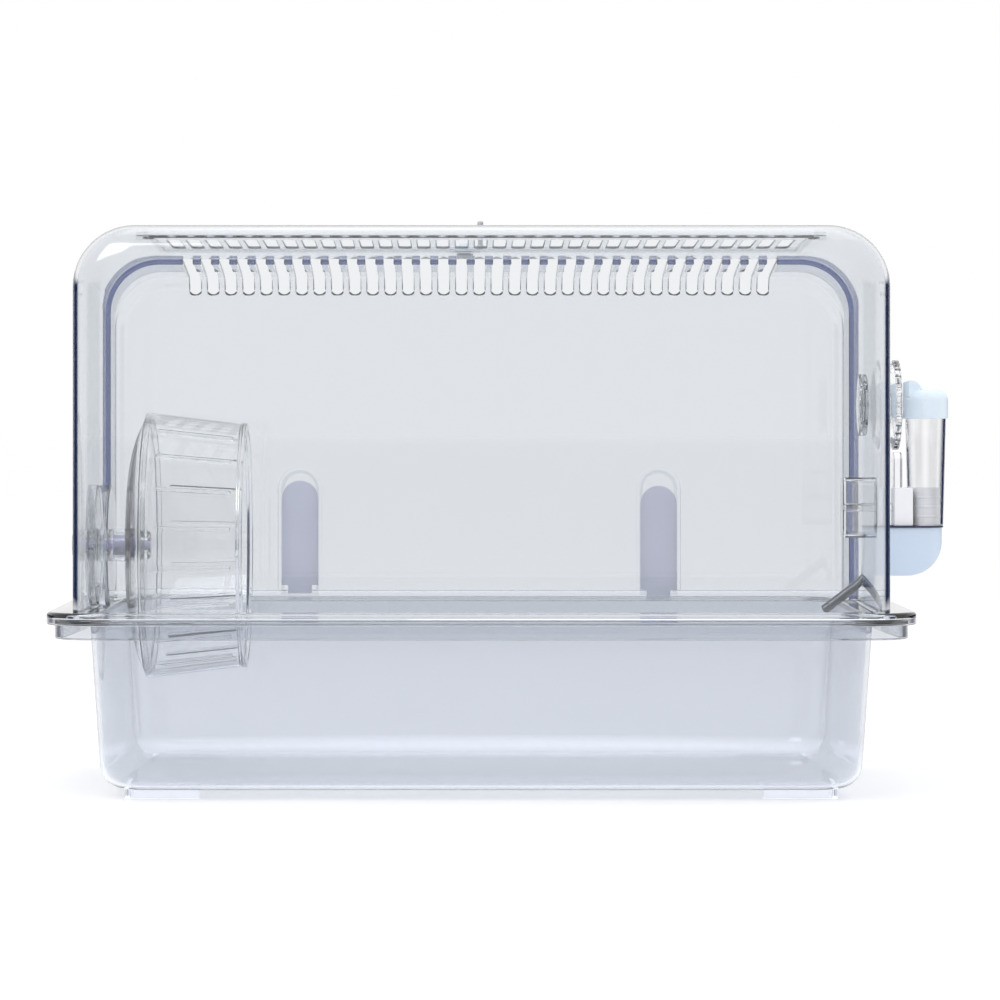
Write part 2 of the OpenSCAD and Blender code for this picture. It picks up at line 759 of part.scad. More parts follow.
module wheel_bearing() {
    r0 = axle_r + axle_gap;
    color([0.9, 0.9, 0.93]) turn_x(wheel_z, [[r0, hub_x0], [r0 + bearing_t, hub_x0],
        [r0 + bearing_t, hub_x1], [r0, hub_x1]]);
}

// Distance of the domed back's outer face from the rim, at radius r
function dome_x(r) = rim_x - 1 - back_dome * (1 - pow(r / wheel_r, 2));

module wheel_back() {
    bore = axle_r + axle_gap + bearing_t + press_gap;
    edge = wheel_r - wheel_wall - press_gap;
    steps = 8;
    rs = [for (i = [0:steps]) hub_r + (edge - 1 - hub_r) * i / steps];
    color(clear_tint) turn_x(wheel_z, concat(
        [[bore, hub_x0], [hub_r, hub_x0]],
        [for (r = rs) [r, dome_x(r)]],
        [[edge, rim_x - 1], [edge, rim_x + 1.5], [edge - 2, rim_x + 1.5]],
        [for (i = [steps:-1:0]) [rs[i] - (i == steps ? 1 : 0), dome_x(rs[i]) + wheel_wall]],
        [[hub_r, hub_x1], [bore, hub_x1]]));
}

module wheel_drum() {
    out0 = wheel_r - 0.45;
    out1 = wheel_front_r - 0.45;
    lean = atan((out0 - out1) / (front_x - 3.5 - rim_x - 3));
    rung_l = front_x - rim_x - 13;
    color(clear_tint) {
        turn_x(wheel_z, [[wheel_r, rim_x - 2], [wheel_r, rim_x + 1.5], [out0, rim_x + 3],
            [out1, front_x - 3.5], [wheel_front_r, front_x - 3], [wheel_front_r, front_x],
            [wheel_front_r - 4.2, front_x], [wheel_front_r - 4.2, front_x - 1.8],
            [out1 - wheel_wall, front_x - 3.5], [out0 - wheel_wall, rim_x + 3],
            [wheel_r - wheel_wall, rim_x + 1.6], [wheel_r - wheel_wall, rim_x - 2]], 120);
        for (i = [0:rung_count - 1]) translate([0, 0, wheel_z])
            rotate([(i + 0.5) * 360 / rung_count, 0, 0])
                translate([(rim_x + front_x) / 2, 0, (out0 + out1) / 2 - wheel_wall - rung_h / 2 + 0.4])
                    rotate([0, lean, 0]) cube([rung_l, rung_w, rung_h + 0.8], center = true);
    }
}

module wheel_end_cap() {
    r = hub_r - 1;
    x1 = axle_x1 + peg_l + 1;
    color([0.85, 0.87, 0.92]) turn_x(wheel_z, [[peg_r + press_gap, axle_x1], [r, axle_x1],
        [r, x1 - 2], [r - 2, x1], [0, x1], [0, axle_x1 + peg_l + 0.1],
        [peg_r + press_gap, axle_x1 + peg_l + 0.1]]);
}

// Part: bottle hanger

hanger_z = bottle_foot_z + hanger_rise;
nose_r = 6;
twist_x1 = side_x + twist_out;
twist_x0 = side_x + 5.7;

// The hub that goes through the right wall and carries the twist disc
module hanger_hub() {
    x0 = side_in_x - fit_gap - 3.7;
    head_x = twist_x1 - 1.6;
    color(clear_tint) turn_x(hanger_z, [[0, x0], [hanger_r, x0], [hanger_r, side_x + fit_gap],
        [hanger_r + 4, side_x + fit_gap], [hanger_r + 4, side_x + 3.3],
        [hanger_r - 1, side_x + 3.3], [hanger_r - 1, twist_x0 - 0.4], [nose_r, twist_x0 - 0.4],
        [nose_r, head_x], [nose_r + 1.4, head_x], [nose_r + 0.9, head_x + 1], [0, head_x + 1]]);
}

module hanger_ring() {
    x1 = side_in_x - fit_gap;
    lugs = 6;
    color(clear_tint) difference() {
        turn_x(hanger_z, [[hanger_r + 0.06, x1 - 3], [ring_r - 1, x1 - 3], [ring_r, x1 - 2],
            [ring_r, x1], [hanger_r + 0.06, x1]]);
        for (i = [0:lugs - 1]) translate([0, 0, hanger_z]) rotate([i * 360 / lugs, 0, 0])
            rod_x(x1 - 3 - cut, x1 - 1, ring_r + 1.2, 2.6, 24);
    }
}

module twist_disc() {
    shell = 2;
    boss_r = nose_r + 4;
    rim_r = twist_r - 5;
    color(clear_tint) difference() {
        union() {
            turn_x(hanger_z, [[nose_r + 0.06, twist_x0], [boss_r, twist_x0 + 0.4],
                [0.75 * twist_r, twist_x0 + 3], [twist_r - 1, twist_x1 - twist_rim],
                [twist_r, twist_x1 - twist_rim], [twist_r, twist_x1], [rim_r, twist_x1],
                [0.72 * twist_r, twist_x0 + 3 + shell], [boss_r, twist_x0 + 1 + shell],
                [boss_r, twist_x1], [nose_r + 1.8, twist_x1], [nose_r + 1.8, twist_x1 - 1.9],
                [nose_r + 0.06, twist_x1 - 1.9]]);
            rod_x(twist_x1 - 0.1, twist_x1 + 2.3, hanger_z - 7.5, 3.8, 32);
        }
        for (i = [0:notch_count - 1]) translate([0, 0, hanger_z])
            rotate([i * 360 / notch_count, 0, 0])
                rod_x(twist_x1 - twist_rim - cut, twist_x1 + cut, twist_r + 0.5, 1.2, 16);
    }
}

// Part: water bottle

bottle_x = side_x + bottle_out;
gasket_z = bottle_foot_z - fit_gap - gasket_t;
base_x0 = side_x + 0.4;
base_x1 = bottle_x + bottle_foot_r - bottle_wall + 0.5;
bottle_in_r = bottle_foot_r - bottle_wall;
collar_r = bottle_in_r - 0.4;
spigot_r = 5.7;
cradle_x = side_x + cradle_out;

// The base, seen from above: square at the wall, round at the front
module base_plan(grow) {
    r = base_half_w + grow;
    x = base_x1 + grow - r;
    translate([base_x0, -r]) square([x - base_x0, 2 * r]);
    translate([x, 0]) circle(r = r, $fn = 64);
}

module bottle_base() {
    floor_z = gasket_z - base_h;
    cx = base_x1 - base_round_r;
    cz = floor_z + base_round_r;
    color(ice_blue) difference() {
        union() {
            intersection() {
                translate([0, 0, floor_z]) linear_extrude(base_h) base_plan(0);
                along_y(-2 * base_half_w, 2 * base_half_w) {
                    translate([base_x0, floor_z]) square([cx - base_x0, base_h]);
                    translate([base_x0, cz]) square([base_x1 - base_x0, gasket_z - cz]);
                    translate([cx, cz]) circle(r = base_round_r, $fn = 96);
                }
            }
            rod_x(base_x0, side_x + 10, nozzle_wall_z, spigot_r + 0.8);
            rod_x(side_in_x + 0.2, base_x0 + cut, nozzle_wall_z, spigot_r);
        }
        translate([bottle_x, 0, gasket_z - chamber_h])
            cylinder(h = chamber_h + cut, r = collar_r + press_gap, $fn = 64);
        nozzle_line() translate([0, 0, -cut])
            cylinder(h = nozzle_in + nozzle_back + 2 * cut, r = nozzle_r + press_gap, $fn = 32);
    }
}

module base_gasket() {
    color([0.2, 0.22, 0.35]) difference() {
        translate([0, 0, gasket_z]) linear_extrude(gasket_t) base_plan(0.8);
        translate([bottle_x, 0, gasket_z - cut])
            cylinder(h = gasket_t + 2 * cut, r = collar_r + press_gap, $fn = 64);
    }
}

// The screw collar that the bottle stands on, with two thread ridges
module base_collar() {
    z0 = gasket_z - 6;
    z1 = gasket_z + gasket_t + collar_h;
    r0 = collar_r - collar_t;
    ridge = 0.25;
    zs = [for (i = [1:3]) gasket_z + gasket_t + collar_h * i / 4];
    color(white_tint) translate([bottle_x, 0, 0]) rotate_extrude($fn = 64)
        polygon(concat([[r0, z0], [collar_r, z0]],
            [for (z = zs) each [[collar_r, z - 0.8], [collar_r + ridge, z - 0.3],
                [collar_r + ridge, z + 0.3], [collar_r, z + 0.8]]],
            [[collar_r, z1], [r0, z1]]));
}

module bottle_cradle() {
    z0 = gasket_z + gasket_t;
    inner_r = bottle_foot_r + 1;
    cradle_half_w = base_half_w - 1.9;
    color(white_tint) difference() {
        block([cradle_x, -cradle_half_w, z0], [bottle_x - 8.2, cradle_half_w, z0 + cradle_h]);
        translate([bottle_x, 0, z0 - cut]) cylinder(h = cradle_h + 2 * cut, r = inner_r, $fn = 64);
        rod_x(cradle_x - cut, cradle_x + 3.8, clamp_z, clamp_peg_r + press_gap, 32);
    }
}

module back_plate() {
    z0 = gasket_z + gasket_t + cradle_h;
    r = plate_w / 4;
    color(clear_tint) along_x(cradle_x, cradle_x + 4.8) {
        translate([-2 * r, z0]) square([plate_w, plate_h - r]);
        translate([-r, z0]) square([2 * r, plate_h]);
        for (sy = [-1, 1]) translate([r * sy, z0 + plate_h - r]) circle(r = r, $fn = 32);
    }
}

module bottle_body() {
    z1 = bottle_foot_z + bottle_l;
    color(clear_tint) translate([bottle_x, 0, 0]) rotate_extrude($fn = 96)
        polygon([[bottle_in_r, bottle_foot_z], [bottle_foot_r, bottle_foot_z],
            [bottle_top_r, z1], [bottle_top_r - bottle_wall, z1]]);
}

// The top cap: a round cup over the bottle's mouth, with a hump towards the wall
module bottle_cap() {
    z0 = bottle_foot_z + bottle_l - cap_lap;
    z1 = z0 + cap_h;
    edge = 6;
    top_skin = 2.5;
    hump_r = 6.3;
    color(ice_blue) difference() {
        union() {
            translate([bottle_x, 0, 0]) rotate_extrude($fn = 96)
                polygon(concat([[0, z0], [cap_r, z0]],
                    [for (i = [0:arc_steps]) let(a = 90 * i / arc_steps)
                        [cap_r - edge + edge * cos(a), z1 - edge + edge * sin(a)]], [[0, z1]]));
            intersection() {
                translate([bottle_x, 0, z0]) cylinder(h = cap_h + 2 * hump_r, r = cap_r, $fn = 96);
                translate([bottle_x - 9, hump_w / 2, z1 + hump_h - hump_r]) rotate([90, 0, 0])
                    cylinder(h = hump_w, r = hump_r, $fn = 64);
            }
        }
        translate([bottle_x, 0, z0 - cut])
            cylinder(h = cut + cap_lap + fit_gap, r = bottle_top_r + fit_gap, $fn = 96);
        translate([bottle_x, 0, z0])
            cylinder(h = cap_h - top_skin, r = bottle_top_r - 3, $fn = 96);
    }
}

// Part: nozzle and clamp

// The nozzle's own frame: its tip at the origin, its axis along Z towards the base
module nozzle_line() {
    translate([side_x, 0, nozzle_wall_z]) rotate([0, 90 - nozzle_slope, 0])
        translate([0, 0, -nozzle_in]) children();
}

module nozzle_tube() {
    l = nozzle_in + nozzle_back;
    mouth_r = ball_r - 0.3;
    color([0.75, 0.76, 0.78]) nozzle_line() rotate_extrude($fn = 48)
        polygon([[mouth_r, 0], [nozzle_r - 0.5, 0], [nozzle_r, 0.5], [nozzle_r, l],
            [nozzle_bore_r, l], [nozzle_bore_r, 0.9], [mouth_r, 0.3]]);
}

module nozzle_ball() {
    color([0.8, 0.81, 0.83]) nozzle_line() translate([0, 0, ball_r - 0.5])
        sphere(r = ball_r, $fn = 32);
}

clamp_z = gasket_z + gasket_t + 10.5;
clamp_peg_r = 2.4;

// A clear housing inside the wall, pulled against it by a peg in the cradle
module inner_clamp() {
    x1 = side_in_x - fit_gap;
    x0 = x1 - clamp_t;
    skin = 1.8;
    hy = clamp_half_w;
    color(clear_tint) {
        difference() {
            translate([0, 0, clamp_z]) along_x(x0, x1) round_outline(hy, clamp_h / 2, 5);
            translate([0, 0, clamp_z]) along_x(x0 + skin, x1 + cut)
                round_outline(hy - skin, clamp_h / 2 - skin, 5 - skin);
        }
        rod_x(x0 + skin / 2, cradle_x + 3.5, clamp_z, clamp_peg_r, 32);
    }
}

base_tray();
dome_cover();
roof_hatch();
hatch_knob();
latch_bar();
latch_tongue();
clip_left();
clip_right();
wheel_mount_disc();
wheel_nut();
wheel_axle();
wheel_bearing();
wheel_back();
wheel_drum();
wheel_end_cap();
hanger_hub();
hanger_ring();
twist_disc();
bottle_base();
base_gasket();
base_collar();
bottle_cradle();
back_plate();
bottle_body();
bottle_cap();
nozzle_tube();
nozzle_ball();
inner_clamp();
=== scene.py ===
from functools import partial
from math import atan, cos, pi, radians, sin, tan

import bmesh
import bpy
from mathutils import Matrix, Vector


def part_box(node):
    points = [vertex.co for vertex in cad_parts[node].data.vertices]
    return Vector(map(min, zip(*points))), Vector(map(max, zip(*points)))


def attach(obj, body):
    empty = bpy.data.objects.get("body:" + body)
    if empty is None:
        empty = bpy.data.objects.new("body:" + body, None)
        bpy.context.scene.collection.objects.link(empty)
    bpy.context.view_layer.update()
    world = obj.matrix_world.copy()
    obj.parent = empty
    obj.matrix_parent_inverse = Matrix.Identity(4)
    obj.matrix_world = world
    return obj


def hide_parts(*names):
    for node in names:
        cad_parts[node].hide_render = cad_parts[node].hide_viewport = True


mm = 0.001
snugFit, runningFit = 0.05, 0.06  # how much wider than its pin a hole is, on each side
scene = bpy.context.scene
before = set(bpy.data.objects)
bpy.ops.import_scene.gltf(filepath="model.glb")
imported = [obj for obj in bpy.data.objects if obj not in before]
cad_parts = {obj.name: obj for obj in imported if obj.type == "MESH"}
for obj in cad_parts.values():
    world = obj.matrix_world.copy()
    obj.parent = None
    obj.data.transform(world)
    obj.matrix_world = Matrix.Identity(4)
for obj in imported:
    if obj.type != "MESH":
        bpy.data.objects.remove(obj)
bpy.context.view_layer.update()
print("frame loaded:", len(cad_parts), "nodes")


# Shapes: each is a list of points and a list of faces, joined into pieces further down

def boxOf(node):
    low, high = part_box(node)
    return low / mm, high / mm


def middleOf(node, axis):
    low, high = boxOf(node)
    return (low[axis] + high[axis]) / 2


def loftShape(rings):
    size = len(rings[0])
    points = [p for ring in rings for p in ring]
    last = (len(rings) - 1) * size
    faces = [list(range(size)), [last + i for i in reversed(range(size))]]
    for j in range(len(rings) - 1):
        for i in range(size):
            k = (i + 1) % size
            faces.append([j * size + i, (j + 1) * size + i, (j + 1) * size + k, j * size + k])
    return points, faces


def prismShape(axis, outline, start, end):
    # the outline lies in the two other axes, in the order X, Y, Z
    def at(u, v, w):
        return {"x": (w, u, v), "y": (u, w, v), "z": (u, v, w)}[axis]
    return loftShape([[at(u, v, w) for u, v in outline] for w in (start, end)])


def blockShape(low, high):
    outline = [(low[0], low[1]), (high[0], low[1]), (high[0], high[1]), (low[0], high[1])]
    return prismShape("z", outline, low[2], high[2])


def rodShape(axis, centre, radius, start, end, steps=48):
    turn = [2 * pi * i / steps for i in range(steps)]
    outline = [(centre[0] + radius * cos(a), centre[1] + radius * sin(a)) for a in turn]
    return prismShape(axis, outline, start, end)


def turnedShape(profile, steps, place):
    # a closed profile of (radius, height) pairs, turned about Z, then put in place
    points, faces = [], []
    size = len(profile)
    for j in range(steps):
        a = 2 * pi * j / steps
        points += [(r * cos(a), r * sin(a), h) for r, h in profile]
    for j in range(steps):
        k = (j + 1) % steps
        for i in range(size):
            n = (i + 1) % size
            if profile[i][0] > 1e-6 or profile[n][0] > 1e-6:
                faces.append([j * size + i, k * size + i, k * size + n, j * size + n])
    return [tuple(place @ Vector(p)) for p in points], faces


def filleted(outline, radius, steps=4, closed=True):
    # rounds the real corners of an outline and leaves the points of drawn curves alone
    result = []
    count = len(outline)
    for i, here in enumerate(outline):
        if not closed and i in (0, count - 1):
            result.append(here)
            continue
        here = Vector(here)
        before = Vector(outline[i - 1]) - here
        after = Vector(outline[(i + 1) % count]) - here
        bend = pi - before.angle(after)
        if bend < radians(25):
            result.append(tuple(here))
            continue
        reach = min(radius * tan(bend / 2), 0.45 * before.length, 0.45 * after.length)
        a = here + before.normalized() * reach
        b = here + after.normalized() * reach
        for k in range(steps + 1):
            t = k / steps
            p = a * (1 - t) ** 2 + here * 2 * t * (1 - t) + b * t ** 2
            result.append(tuple(p))
    return result


def arcPoints(centre, radius, start, end, steps):
    # from one angle to another, in degrees, both ends included
    angles = [radians(start + (end - start) * i / steps) for i in range(steps + 1)]
    return [(centre[0] + radius * cos(a), centre[1] + radius * sin(a)) for a in angles]


def planRing(halfX, halfY, radius, z, steps=16):
    corners = [(1, 1, 0), (-1, 1, 90), (-1, -1, 180), (1, -1, 270)]
    points = []
    for sx, sy, start in corners:
        centre = (sx * (halfX - radius), sy * (halfY - radius))
        points += arcPoints(centre, radius, start, start + 90, steps)
    return [(x, y, z) for x, y in points]


def archOutline(x, halfWidth, low, high, steps=40):
    top = arcPoints((x, high - halfWidth), halfWidth, 0, 180, steps)
    return [(x - halfWidth, low), (x + halfWidth, low)] + top


def slotOutline(x, width, start, end, steps=14):
    r = width / 2
    return arcPoints((x, end - r), r, 0, 180, steps) + arcPoints((x, start + r), r, 180, 360, steps)


def pieceOf(name, shapes):
    mesh = bpy.data.meshes.new(name)
    points, faces = [], []
    for shapePoints, shapeFaces in shapes:
        base = len(points)
        points += [Vector(p) * mm for p in shapePoints]
        faces += [[base + i for i in face] for face in shapeFaces]
    mesh.from_pydata(points, [], faces)
    piece = bpy.data.objects.new(name, mesh)
    scene.collection.objects.link(piece)
    tidyMesh(mesh)
    return piece


def tidyMesh(mesh):
    work = bmesh.new()
    work.from_mesh(mesh)
    bmesh.ops.remove_doubles(work, verts=work.verts, dist=2e-6)
    bmesh.ops.dissolve_degenerate(work, edges=work.edges, dist=1e-6)
    bmesh.ops.recalc_face_normals(work, faces=work.faces)
    work.to_mesh(mesh)
    work.free()


def applyModifiers(piece):
    bpy.context.view_layer.update()
    depsgraph = bpy.context.evaluated_depsgraph_get()
    mesh = bpy.data.meshes.new_from_object(piece.evaluated_get(depsgraph))
    piece.modifiers.clear()
    piece.data = mesh


def combine(piece, tool, how):
    change = piece.modifiers.new("combine", "BOOLEAN")
    change.operation = how
    change.solver = "EXACT"
    change.object = tool
    applyModifiers(piece)
    bpy.data.objects.remove(tool)


def carve(piece, shapes):
    combine(piece, pieceOf("tool", shapes), "DIFFERENCE")


def join(piece, shapes):
    combine(piece, pieceOf("tool", shapes), "UNION")


def softNormals(piece):
    # large flat faces keep their flat shading, small rounded ones blend into them
    mesh = piece.data
    mesh.polygons.foreach_set("use_smooth", [True] * len(mesh.polygons))
    mesh.set_sharp_from_angle(angle=radians(32))
    weighted = piece.modifiers.new("faceWeight", "WEIGHTED_NORMAL")
    weighted.keep_sharp = True
    weighted.weight = 80


# Materials

def toLinear(hexColour):
    parts = [int(hexColour[i:i + 2], 16) / 255 for i in (1, 3, 5)]
    return [p / 12.92 if p <= 0.04045 else ((p + 0.055) / 1.055) ** 2.4 for p in parts] + [1.0]


def addNode(tree, kind, settings=None, links=None):
    # a link comes from a socket, or from a node's first output
    node = tree.nodes.new("ShaderNode" + kind)
    for key, value in (settings or {}).items():
        if isinstance(key, int) or key in node.inputs:
            node.inputs[key].default_value = value
        else:
            setattr(node, key, value)
    for key, source in (links or {}).items():
        tree.links.new(getattr(source, "outputs", [source])[0], node.inputs[key])
    return node


def newMaterial(name):
    # the material, and the function that adds nodes to it
    material = bpy.data.materials.new(name)
    material.use_nodes = True
    material.node_tree.nodes.clear()
    return material, partial(addNode, material.node_tree)


def mouldedBump(add, waveMm, waveDepth, grainMm, grainDepth):
    # two sizes of unevenness: the slow ripple of a large moulding and its fine skin
    place = add("TexCoord").outputs["Object"]
    wave = add("TexNoise", {"Scale": 1 / (waveMm * mm), "Detail": 1.0, "Roughness": 0.4},
               {"Vector": place})
    grain = add("TexNoise", {"Scale": 1 / (grainMm * mm), "Detail": 2.0}, {"Vector": place})
    slow = add("Bump", {"Strength": 1.0, "Distance": waveDepth * mm}, {"Height": wave})
    return add("Bump", {"Strength": 1.0, "Distance": grainDepth * mm},
               {"Height": grain, "Normal": slow})


def clearStyrene(name, tint, density, skin="#fdfcfa"):
    # crystal polystyrene, injection moulded and polished in the die: glassy and sharp edged,
    # with a blue toner that shows only where light runs a long way inside a wall
    material, add = newMaterial(name)
    normal = mouldedBump(add, 70, 0.02, 6, 0.0)  # only a slow ripple: a polished die has no grain
    body = add("BsdfPrincipled", {"Base Color": toLinear(skin), "Roughness": 0.0, "IOR": 1.59,
                                  "Transmission Weight": 1.0}, {"Normal": normal})
    lampWay = add("BsdfTransparent", {"Color": (0.975, 0.98, 0.99, 1)})
    rays = add("LightPath")
    mix = add("MixShader", {}, {0: rays.outputs["Is Shadow Ray"], 1: body, 2: lampWay})
    toner = add("VolumeAbsorption", {"Color": toLinear(tint), "Density": density})
    add("OutputMaterial", {}, {"Surface": mix, "Volume": toner})
    return material


def solidPlastic(name, colour, roughness, translucent=0.0):
    # opaque moulded plastic: a satin skin over an even colour. A milky one also lets through
    # some of the light that falls on its other side
    material, add = newMaterial(name)
    normal = mouldedBump(add, 18, 0.03, 0.9, 0.004)  # sink ripple and a fine satin grain
    place = add("TexCoord").outputs["Object"]
    cloud = add("TexNoise", {"Scale": 60.0, "Detail": 2.0}, {"Vector": place})
    base = toLinear(colour)
    ramp = add("ValToRGB", {}, {"Fac": cloud})
    ramp.color_ramp.elements[0].color = [c * 0.97 for c in base[:3]] + [1]
    ramp.color_ramp.elements[1].color = [min(1, c * 1.02) for c in base[:3]] + [1]
    body = add("BsdfPrincipled", {"Roughness": roughness, "IOR": 1.5},
               {"Base Color": ramp, "Normal": normal})
    if translucent:
        glow = add("BsdfTranslucent", {}, {"Color": ramp})
        body = add("MixShader", {0: translucent}, {1: body, 2: glow})
    add("OutputMaterial", {}, {"Surface": body})
    return material


def polishedSteel(name):
    # stainless tube, drawn and polished: a metal with fine lines along its length. Its colour is
    # far darker than stainless, as a painted dark reflection of the surroundings
    material, add = newMaterial(name)
    normal = mouldedBump(add, 10, 0.004, 0.5, 0.002)
    body = add("BsdfPrincipled",
               # painted reflection: the dark base colour stands in for dark surroundings mirrored
               # in the tube
               {"Base Color": toLinear("#5c5e62"), "Metallic": 1.0, "Roughness": 0.12},
               {"Normal": normal})
    add("OutputMaterial", {}, {"Surface": body})
    return material


finish = {
    "tray": clearStyrene("trayClearStyrene", "#8a94a8", 14.0, "#e3e6eb"),
    "cover": clearStyrene("coverClearStyrene", "#6c92ca", 6.0, "#eff1f3"),
    "band": clearStyrene("bandBlueStyrene", "#5f86c8", 80.0),
    "wheel": clearStyrene("wheelClearStyrene", "#7f9cc0", 7.0, "#fefefe"),
    "fitting": clearStyrene("fittingClearStyrene", "#7f9cc0", 5.0, "#fefefe"),
    "bottle": clearStyrene("bottleClearStyrene", "#8a93a6", 22.0, "#fefefe"),
    "bearing": clearStyrene("bearingClearAcetal", "#c8c8dc", 5.0, "#fefefe"),
    "iceBlue": solidPlastic("iceBlueAbs", "#e4f1fb", 0.32),
    # painted shade: the base is the cap's ice blue made darker, because it sits lower and gets less
    # of the top light
    "baseBlue": solidPlastic("iceBlueAbsPaintedShade", "#d2e0f2", 0.36),
    "milky": solidPlastic("milkyPolypropylene", "#fbfbfd", 0.42),
    "clip": solidPlastic("clipPolypropylene", "#f3f3fc", 0.4, translucent=0.5),
    "grey": solidPlastic("greyAcetal", "#b4b8bf", 0.4),
    "violet": solidPlastic("violetAcetal", "#bdb9e4", 0.35),
    "rubber": solidPlastic("navySealRubber", "#2c3050", 0.6),
    "steel": polishedSteel("stainlessPaintedDarkReflection"),
}
slotOf = {kind: kind + "_clear_plastic" for kind in ("tray", "cover", "wheel", "fitting", "bottle")}
slotOf.update({kind: "white_translucent_plastic" for kind in ("bearing", "milky", "clip")})
slotOf.update(band="cover_clear_plastic", iceBlue="ice_blue_plastic", baseBlue="ice_blue_plastic",
              grey="grey_plastic", violet="violet_plastic", rubber="dark_rubber",
              steel="stainless_steel")
print("finishes made:", len(finish))


def finishPiece(piece, body, kind, *nodes):
    softNormals(piece)
    piece.data.materials.clear()
    piece.data.materials.append(finish[kind])
    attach(piece, body)
    if nodes:
        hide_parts(*nodes)


# Camera, light and stage

worldSettings = {
    "panelEdge": (15, 26), "ceiling": (0.05, 0.13), "gapColour": "#1f2a4e",
    "gapStart": (2300, 2700), "soft": (0.9, 1.0),
}
# under and the reach after it: a painted pool of light on the table right beneath the object, seen
# only through the plastic, fading to the through level farther out
floorSettings = {"half": 60000, "fade": (22000, 33000), "tone": 0.86, "lift": 0.16, "through": 0.12,
                 "under": 0.5, "paintedGlowReach": (240, 380)}
cameraSettings = {"place": (-11.8, -2575, 215), "lens": 159.8, "shift": (0.040, -0.090)}


def makeCamera(s):
    data = bpy.data.cameras.new("mainCamera")
    data.lens = s["lens"]
    data.sensor_width = 36
    data.shift_x, data.shift_y = s["shift"]
    data.clip_end = 200
    camera = bpy.data.objects.new("mainCamera", data)
    camera.location = Vector(s["place"]) * mm
    camera.rotation_euler = (radians(90), 0, 0)
    scene.collection.objects.link(camera)
    scene.camera = camera


def panelLevel(add, direction):
    # 1 towards the four white panels at the sides, 0 in the gaps between them
    s = worldSettings
    flat = add("VectorMath", {"operation": "MULTIPLY", 1: (1, 1, 0)}, {0: direction})
    flat = add("VectorMath", {"operation": "NORMALIZE"}, {0: flat})
    flat = add("VectorMath", {"operation": "ABSOLUTE"}, {0: flat})
    sides = add("SeparateXYZ", {}, {0: flat})
    facing = add("Math", {"operation": "MAXIMUM"}, {0: sides.outputs["X"], 1: sides.outputs["Y"]})
    edges = [cos(radians(a)) for a in s["panelEdge"]]
    return add("MapRange", {"From Min": edges[1], "From Max": edges[0]}, {"Value": facing})


def clearRays(add):
    rays = add("LightPath")
    both = add("Math", {"operation": "MAXIMUM"},
               {0: rays.outputs["Is Transmission Ray"], 1: rays.outputs["Is Glossy Ray"]})
    return rays, both


def makeWorld():
    # plain white where it is seen directly. Through the plastic it is four white panels and a
    # white ceiling with deep blue gaps between them: what a rounded edge turns aside ends in a
    # gap, and that draws the dark outlines of clear mouldings
    s = worldSettings
    world = bpy.data.worlds.new("studioWorld")
    scene.world = world
    world.use_nodes = True
    world.node_tree.nodes.clear()
    add = partial(addNode, world.node_tree)
    rays, clear = clearRays(add)
    place = add("TexCoord").outputs["Generated"]
    up = add("SeparateXYZ", {}, {0: place}).outputs["Z"]
    ceiling = add("MapRange",
                  {"From Min": s["ceiling"][0], "From Max": s["ceiling"][1]}, {"Value": up})
    level = add("Math", {"operation": "MAXIMUM"}, {0: panelLevel(add, place), 1: ceiling})
    colour = add("Mix",
                 {"data_type": "RGBA", 6: toLinear(s["gapColour"]), 7: (1, 1, 1, 1)}, {0: level})
    through = add("Background", {}, {"Color": colour.outputs[2]})
    low, high = s["soft"]
    soft = add("MapRange", {"From Min": -0.3, "From Max": 0.9, "To Min": low, "To Max": high},
               {"Value": up})
    light = add("Background", {"Color": (1, 1, 1, 1)}, {"Strength": soft})
    white = add("Background", {"Color": (1, 1, 1, 1), "Strength": 1.0})
    sky = add("MixShader", {}, {0: clear, 1: light, 2: through})
    sky = add("MixShader", {}, {0: rays.outputs["Is Camera Ray"], 1: sky, 2: white})
    add("OutputWorld", {}, {"Surface": sky})


def makeLamp(name, place, target, size, power):
    data = bpy.data.lights.new(name, "AREA")
    data.shape = "RECTANGLE"
    data.size, data.size_y = size[0] * mm, size[1] * mm
    data.energy = power
    lamp = bpy.data.objects.new(name, data)
    lamp.location = Vector(place) * mm
    lamp.rotation_euler = (Vector(target) - Vector(place)).to_track_quat("-Z", "Y").to_euler()
    scene.collection.objects.link(lamp)


